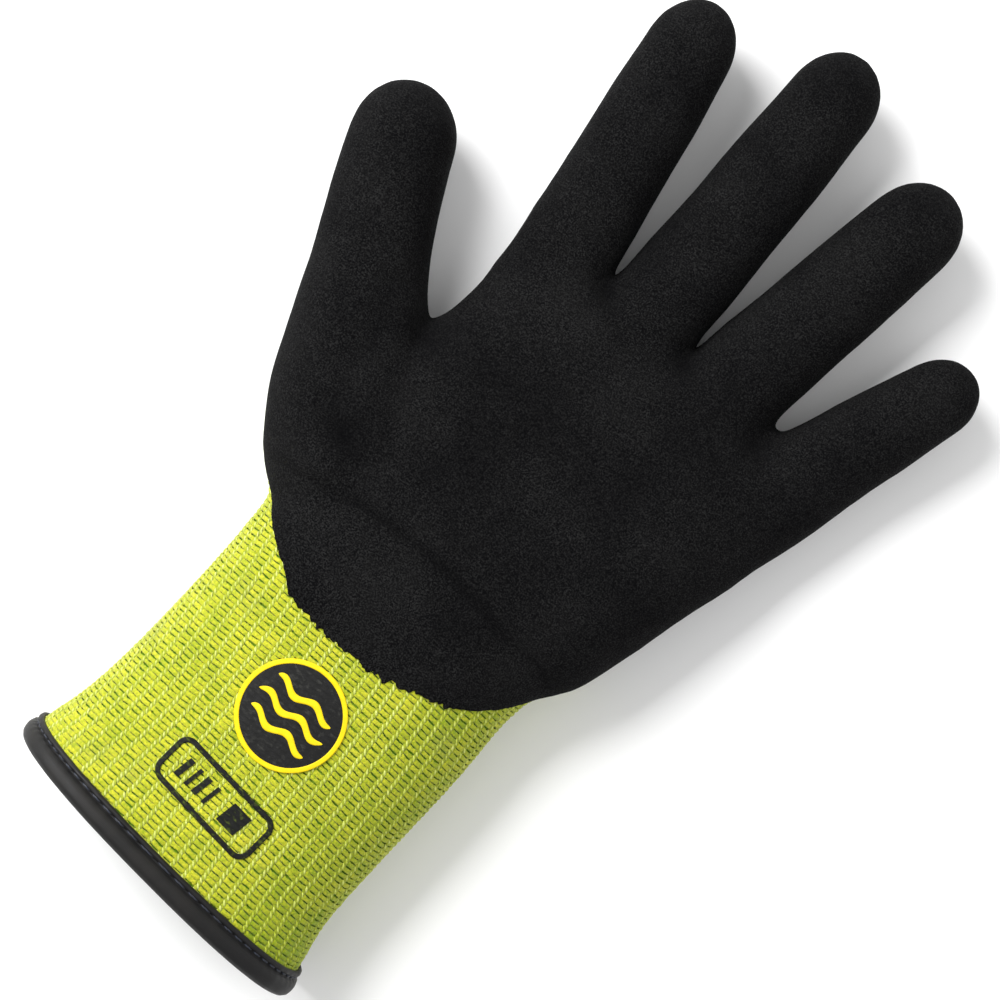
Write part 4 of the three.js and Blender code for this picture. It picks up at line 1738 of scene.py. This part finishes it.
@dataclass
class PrintedFilm:
    """Lays flat outlines on the palm side of the cuff as thin films that follow the stitches."""

    form: GloveForm
    grid: StitchGrid
    bar_half: float = 0.36
    bar_crest: float = 0.43
    gap_depth: float = 0.24
    leg_depth: float = 0.14
    tuck: float = 0.3

    def relief(self, x: float, y: float) -> float:
        """Returns how deep the knit sinks under a film at a place, 0 on a stitch's crest."""
        wale, course = self.grid.locate(x, y)
        across = math.exp(-((((wale % 1) - 0.5) / self.bar_half) ** 4))
        along = abs(math.cos(math.pi * ((course % 1) - self.bar_crest)))
        return -self.gap_depth * (1 - along) * across - self.leg_depth * (1 - across)

    def over(self, x: float, y: float, height: float, follow: float) -> np.ndarray:
        """Finds a point of a film, whose rows lean with the knit's courses.

        Args:
            x: The place across.
            y: The place along.
            height: The film's height over the form.
            follow: How closely it follows the stitches, 0 to 1.

        Returns:
            The point.
        """
        along = y - x * self.form.pattern.slant(y)
        point, normal = self.form.drop(x, along)
        return point + normal * (height + follow * self.relief(x, along))

    def strip(
        self, name: str, outer: np.ndarray, inner: np.ndarray, height: float, follow: float, across: int = 5
    ) -> bpy.types.Mesh:
        """Fills the band between two closed outlines.

        Args:
            name: The mesh's name.
            outer: The outer outline.
            inner: The inner outline, point for point.
            height: The film's height over the form.
            follow: How closely it follows the stitches.
            across: How many rows it is wide.

        Returns:
            The film's mesh, with edges that turn down to the knit.
        """
        rows = [outer + (inner - outer) * share for share in np.linspace(0, 1, across)]
        rows = [rows[0], *rows, rows[-1]]
        levels = [height - self.tuck, *([height] * across), height - self.tuck]
        points = np.array(
            [[self.over(x, y, level, follow) for x, y in row] for row, level in zip(rows, levels)]
        )
        at = np.arange(points[..., 0].size).reshape(points.shape[:2])
        return mesh_from(name, to_frame(points.reshape(-1, 3)), [quads_between(at)])

    def patch(
        self, name: str, outline: np.ndarray, middle: np.ndarray, height: float, follow: float, rings: int
    ) -> bpy.types.Mesh:
        """Fills a closed outline out from its middle.

        Args:
            name: The mesh's name.
            outline: The outline.
            middle: The point that it closes on.
            height: The film's height over the form.
            follow: How closely it follows the stitches.
            rings: How many rings it is filled with.

        Returns:
            The film's mesh.
        """
        shares = [1.0, *np.linspace(1, 0.02, rings)]
        levels = [height - self.tuck, *([height] * rings)]
        points = np.array(
            [
                [self.over(x, y, level, follow) for x, y in middle + (outline - middle) * share]
                for share, level in zip(shares, levels)
            ]
        )
        at = np.arange(points[..., 0].size).reshape(points.shape[:2])
        return mesh_from(name, to_frame(points.reshape(-1, 3)), [quads_between(at), at[-1:]])

    @staticmethod
    def sheets(name: str, grids: list[np.ndarray]) -> bpy.types.Mesh:
        """Builds one mesh of several open sheets.

        Args:
            name: The mesh's name.
            grids: Each sheet's points, by row and column.

        Returns:
            The mesh.
        """
        quads = []
        start = 0
        for grid in grids:
            count = grid[..., 0].size
            quads.append(quads_between(start + np.arange(count).reshape(grid.shape[:2]), closed=False))
            start += count
        points = np.concatenate([grid.reshape(-1, 3) for grid in grids])
        return mesh_from(name, to_frame(points), [np.concatenate(quads)])

    @staticmethod
    def face_up(mesh: bpy.types.Mesh) -> bpy.types.Mesh:
        """Turns a film's faces so that they look up, and returns it."""
        shape = bmesh.new()
        shape.from_mesh(mesh)
        shape.normal_update()
        total = sum((face.normal.z * face.calc_area() for face in shape.faces), 0.0)
        if total < 0:
            bmesh.ops.reverse_faces(shape, faces=shape.faces)
        shape.to_mesh(mesh)
        shape.free()
        return mesh

    def finish(
        self, mesh: bpy.types.Mesh, material: bpy.types.Material, node: str, slot: str
    ) -> bpy.types.Object:
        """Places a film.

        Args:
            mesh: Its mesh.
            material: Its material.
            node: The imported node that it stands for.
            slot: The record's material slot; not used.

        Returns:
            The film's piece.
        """
        self.face_up(mesh)
        mesh.materials.append(material)
        piece = place(mesh.name, mesh)
        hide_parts(node)
        return piece


@dataclass
class RoundBadge(PrintedFilm):
    """A plain round badge: a yellow rim round a black field with three plain waves."""

    middle: tuple[float, float] = (0.0, 48.1)
    diameter: float = 26.0
    rim: float = 1.15
    height: float = 0.66
    lap: float = 0.2
    rim_over: float = 0.07
    follow: float = 0.8
    sides: int = 128
    rings: int = 34
    waves: int = 3
    wave_width: float = 1.7
    wave_pitch: float = 4.6
    wave_rise: float = 0.95
    wave_length: float = 9.5
    wave_margin: float = 2.2
    wave_over: float = 0.06
    wave_steps: int = 44
    wave_rows: tuple[tuple[float, float], ...] = (
        (0.0, -0.2),
        (0.0, 0.0),
        (0.25, 0.0),
        (0.5, 0.0),
        (0.75, 0.0),
        (1.0, 0.0),
        (1.0, -0.2),
    )
    field_finish: FilmFinish = field(
        default_factory=lambda: FilmFinish("badge_black", tint(9, 9, 8), tint(54, 54, 51), 0.7, 0.6)
    )
    rim_finish: FilmFinish = field(
        default_factory=lambda: FilmFinish("badge_yellow", tint(230, 200, 0), tint(190, 176, 24), 0.4, 0.55)
    )

    def circle(self, radius: float) -> np.ndarray:
        """Returns a circle round the badge's middle."""
        turns = np.linspace(0, 2 * math.pi, self.sides, endpoint=False)
        return np.stack([np.cos(turns), np.sin(turns)], axis=-1) * radius + np.array(self.middle)

    def wave(self, rank: int) -> tuple[np.ndarray, np.ndarray]:
        """Returns the outline of one wave of the badge and the middle that it narrows to."""
        offset = (rank - 0.5 * (self.waves - 1)) * self.wave_pitch
        half = math.sqrt((0.5 * self.diameter - self.rim - self.wave_margin) ** 2 - offset**2)
        run = np.linspace(-half, half, self.wave_steps)
        crest = offset + self.wave_rise * np.sin(run * 2 * math.pi / self.wave_length)
        width = 0.5 * self.wave_width * np.sqrt(np.clip(1 - (run / half) ** 6, 0.02, 1))
        upper = np.stack([run, crest + width], axis=-1)
        lower = np.stack([run, crest - width], axis=-1)
        return upper + np.array(self.middle), lower + np.array(self.middle)

    def build(self) -> list[bpy.types.Object]:
        """Makes the badge.

        Returns:
            Its pieces.
        """
        radius, follow = 0.5 * self.diameter, self.follow
        middle = np.array(self.middle)
        outer, inner = self.circle(radius), self.circle(radius - self.rim)
        under = self.circle(radius - self.lap)
        disc = self.patch("badge_field", under, middle, self.height, follow, self.rings)
        ring = self.strip("badge_rim", outer, inner, self.height + self.rim_over, follow)
        ink, yellow = self.field_finish.material(), self.rim_finish.material()
        grids = []
        for rank in range(self.waves):
            upper, lower = self.wave(rank)
            rows = []
            for share, level in self.wave_rows:
                edge = upper + (lower - upper) * share
                height = self.height + self.wave_over + level
                rows.append([self.over(x, y, height, follow) for x, y in edge])
            grids.append(np.array(rows))
        waves = self.sheets("badge_waves", grids)
        dressed = ((disc, ink), (ring, yellow), (waves, yellow))
        return [self.finish(mesh, material, "badge_film", "badge") for mesh, material in dressed]


@dataclass
class SizeFrame(PrintedFilm):
    """A printed frame with rounded corners, and plain bars of ink inside it."""

    middle: tuple[float, float] = (0.0, 22.5)
    turn: float = 2.2
    width: float = 30.0
    tall: float = 12.4
    corner: float = 3.2
    line: float = 1.25
    height: float = 0.55
    bars: tuple[tuple[float, float, float], ...] = (
        (-9.6, 1.5, 5.2),
        (-6.6, 1.0, 5.2),
        (-3.9, 1.5, 5.2),
        (-0.9, 1.0, 5.2),
        (6.6, 5.4, 5.6),
    )
    bar_lean: float = 0.12
    bar_rows: int = 18
    bar_step: float = 0.3
    outline_steps: int = 230
    ink_finish: FilmFinish = field(
        default_factory=lambda: FilmFinish("size_ink", tint(7, 9, 6), tint(84, 96, 30), 0.7, 0.7)
    )

    def turned(self, places: np.ndarray) -> np.ndarray:
        """Turns places about the frame's middle as the print is turned, and moves them there."""
        spin = math.radians(self.turn)
        x = places[..., 0] * math.cos(spin) + places[..., 1] * math.sin(spin)
        y = places[..., 1] * math.cos(spin) - places[..., 0] * math.sin(spin)
        return np.stack([x, y], axis=-1) + np.array(self.middle)

    def rounded(self, width: float, tall: float, corner: float) -> np.ndarray:
        """Returns a rounded rectangle round the frame's middle, with evenly spread points."""
        dense = []
        for cx, cy, start in (
            (0.5 * width - corner, 0.5 * tall - corner, 0.0),
            (corner - 0.5 * width, 0.5 * tall - corner, 0.5 * math.pi),
            (corner - 0.5 * width, corner - 0.5 * tall, math.pi),
            (0.5 * width - corner, corner - 0.5 * tall, 1.5 * math.pi),
        ):
            turns = np.linspace(start, start + 0.5 * math.pi, 16)
            dense.append(np.stack([cx + corner * np.cos(turns), cy + corner * np.sin(turns)], axis=-1))
        path = np.concatenate(dense)
        closed = np.vstack([path, path[:1]])
        steps = np.concatenate([[0], np.cumsum(np.linalg.norm(np.diff(closed, axis=0), axis=1))])
        wanted = np.linspace(0, steps[-1], self.outline_steps, endpoint=False)
        even = np.stack([np.interp(wanted, steps, closed[:, axis]) for axis in range(2)], axis=-1)
        return self.turned(even)

    def build(self) -> list[bpy.types.Object]:
        """Makes the frame and its bars.

        Returns:
            Its pieces.
        """
        ink = self.ink_finish.material()
        line = self.line
        outer = self.rounded(self.width, self.tall, self.corner)
        inner = self.rounded(self.width - 2 * line, self.tall - 2 * line, self.corner - line)
        frame = self.strip("size_frame", outer, inner, self.height, 1.0, 6)
        grids = []
        for x, wide, tall in self.bars:
            columns = np.linspace(-0.5 * wide, 0.5 * wide, max(int(wide / self.bar_step), 3))
            rows = np.linspace(-0.5 * tall, 0.5 * tall, self.bar_rows)
            across, up = np.meshgrid(columns, rows)
            spots = self.turned(np.stack([x + across + self.bar_lean * up, up], axis=-1))
            grids.append(np.array([[self.over(*spot, self.height, 1.0) for spot in row] for row in spots]))
        marks = self.sheets("size_marks", grids)
        return [self.finish(mesh, ink, "size_film", "print") for mesh in (frame, marks)]


# The studio


@dataclass
class Studio:
    """The pale floor, the soft lights and the camera, set as the glove was photographed."""

    floor_finish: FloorFinish = field(default_factory=FloorFinish)
    camera_spot: tuple[float, float, float] = (0.00957, -0.00755, 0.600)
    turn: float = 43.0
    lens: float = 89.1
    floor_half: float = 2.5
    sky: float = 0.66
    key_spot: tuple[float, float, float] = (-0.75, 0.10, 0.75)
    key_size: float = 0.6
    key_power: float = 17.0
    fill_spot: tuple[float, float, float] = (0.60, 0.35, 0.80)
    fill_size: float = 0.9
    fill_power: float = 2.0
    aim: tuple[float, float, float] = (0.0, 0.0, 0.02)

    def build(self) -> None:
        """Sets up the floor, the lights and the camera."""
        view = bpy.context.scene.view_settings
        view.view_transform = "Standard"
        view.look = "None"
        self.lay_floor()
        self.hang_lights()
        self.set_camera()

    def lay_floor(self) -> None:
        """Lays the floor under the glove."""
        half = self.floor_half
        corners = np.array([(-half, -half, 0.0), (half, -half, 0.0), (half, half, 0.0), (-half, half, 0.0)])
        mesh = mesh_from("studio_floor", corners, [np.array([[0, 1, 2, 3]])])
        mesh.materials.append(self.floor_finish.material())
        place("studio_floor", mesh)

    def hang_lights(self) -> None:
        """Hangs a large key light beyond the thumb's side, a fill opposite, and an even sky."""
        world = bpy.data.worlds.new("studio_sky")
        world.use_nodes = True
        world.node_tree.nodes["Background"].inputs["Color"].default_value = (1.0, 1.0, 1.0, 1.0)
        world.node_tree.nodes["Background"].inputs["Strength"].default_value = self.sky
        bpy.context.scene.world = world
        for name, spot, size, power in (
            ("key_light", self.key_spot, self.key_size, self.key_power),
            ("fill_light", self.fill_spot, self.fill_size, self.fill_power),
        ):
            light = bpy.data.lights.new(name, "AREA")
            light.size = size
            light.energy = power
            lamp = bpy.data.objects.new(name, light)
            lamp.location = spot
            way = Vector(self.aim) - lamp.location
            lamp.rotation_euler = way.to_track_quat("-Z", "Y").to_euler()
            bpy.context.scene.collection.objects.link(lamp)

    def set_camera(self) -> None:
        """Places the camera straight above the palm, turned as in the photograph."""
        data = bpy.data.cameras.new("camera")
        data.lens = self.lens
        data.sensor_width = 36.0
        data.clip_start = 0.01
        camera = bpy.data.objects.new("camera", data)
        spin = Matrix.Rotation(math.radians(self.turn), 4, "Z")
        camera.matrix_world = Matrix.Translation(Vector(self.camera_spot)) @ spin
        bpy.context.scene.collection.objects.link(camera)
        bpy.context.scene.camera = camera


def main() -> None:
    """Builds the glove's dress piece by piece and reports each piece."""
    logging.basicConfig(level=logging.INFO, format="%(name)s: %(message)s")
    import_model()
    form = GloveForm()
    form.build()
    grid = StitchGrid(form)
    grid.build()
    coating = FoamCoating(form)
    assemblies = (
        coating,
        KnitLiner(form, grid, coating),
        CuffBinding(form),
        RoundBadge(form, grid),
        SizeFrame(form, grid),
    )
    for assembly in assemblies:
        for piece in assembly.build():
            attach(piece, "root")
            faces = len(piece.data.polygons)
            LOG.info("%s: %s, %d faces", type(assembly).__name__, piece.name, faces)
    Studio().build()


if __name__ == "__main__":
    main()
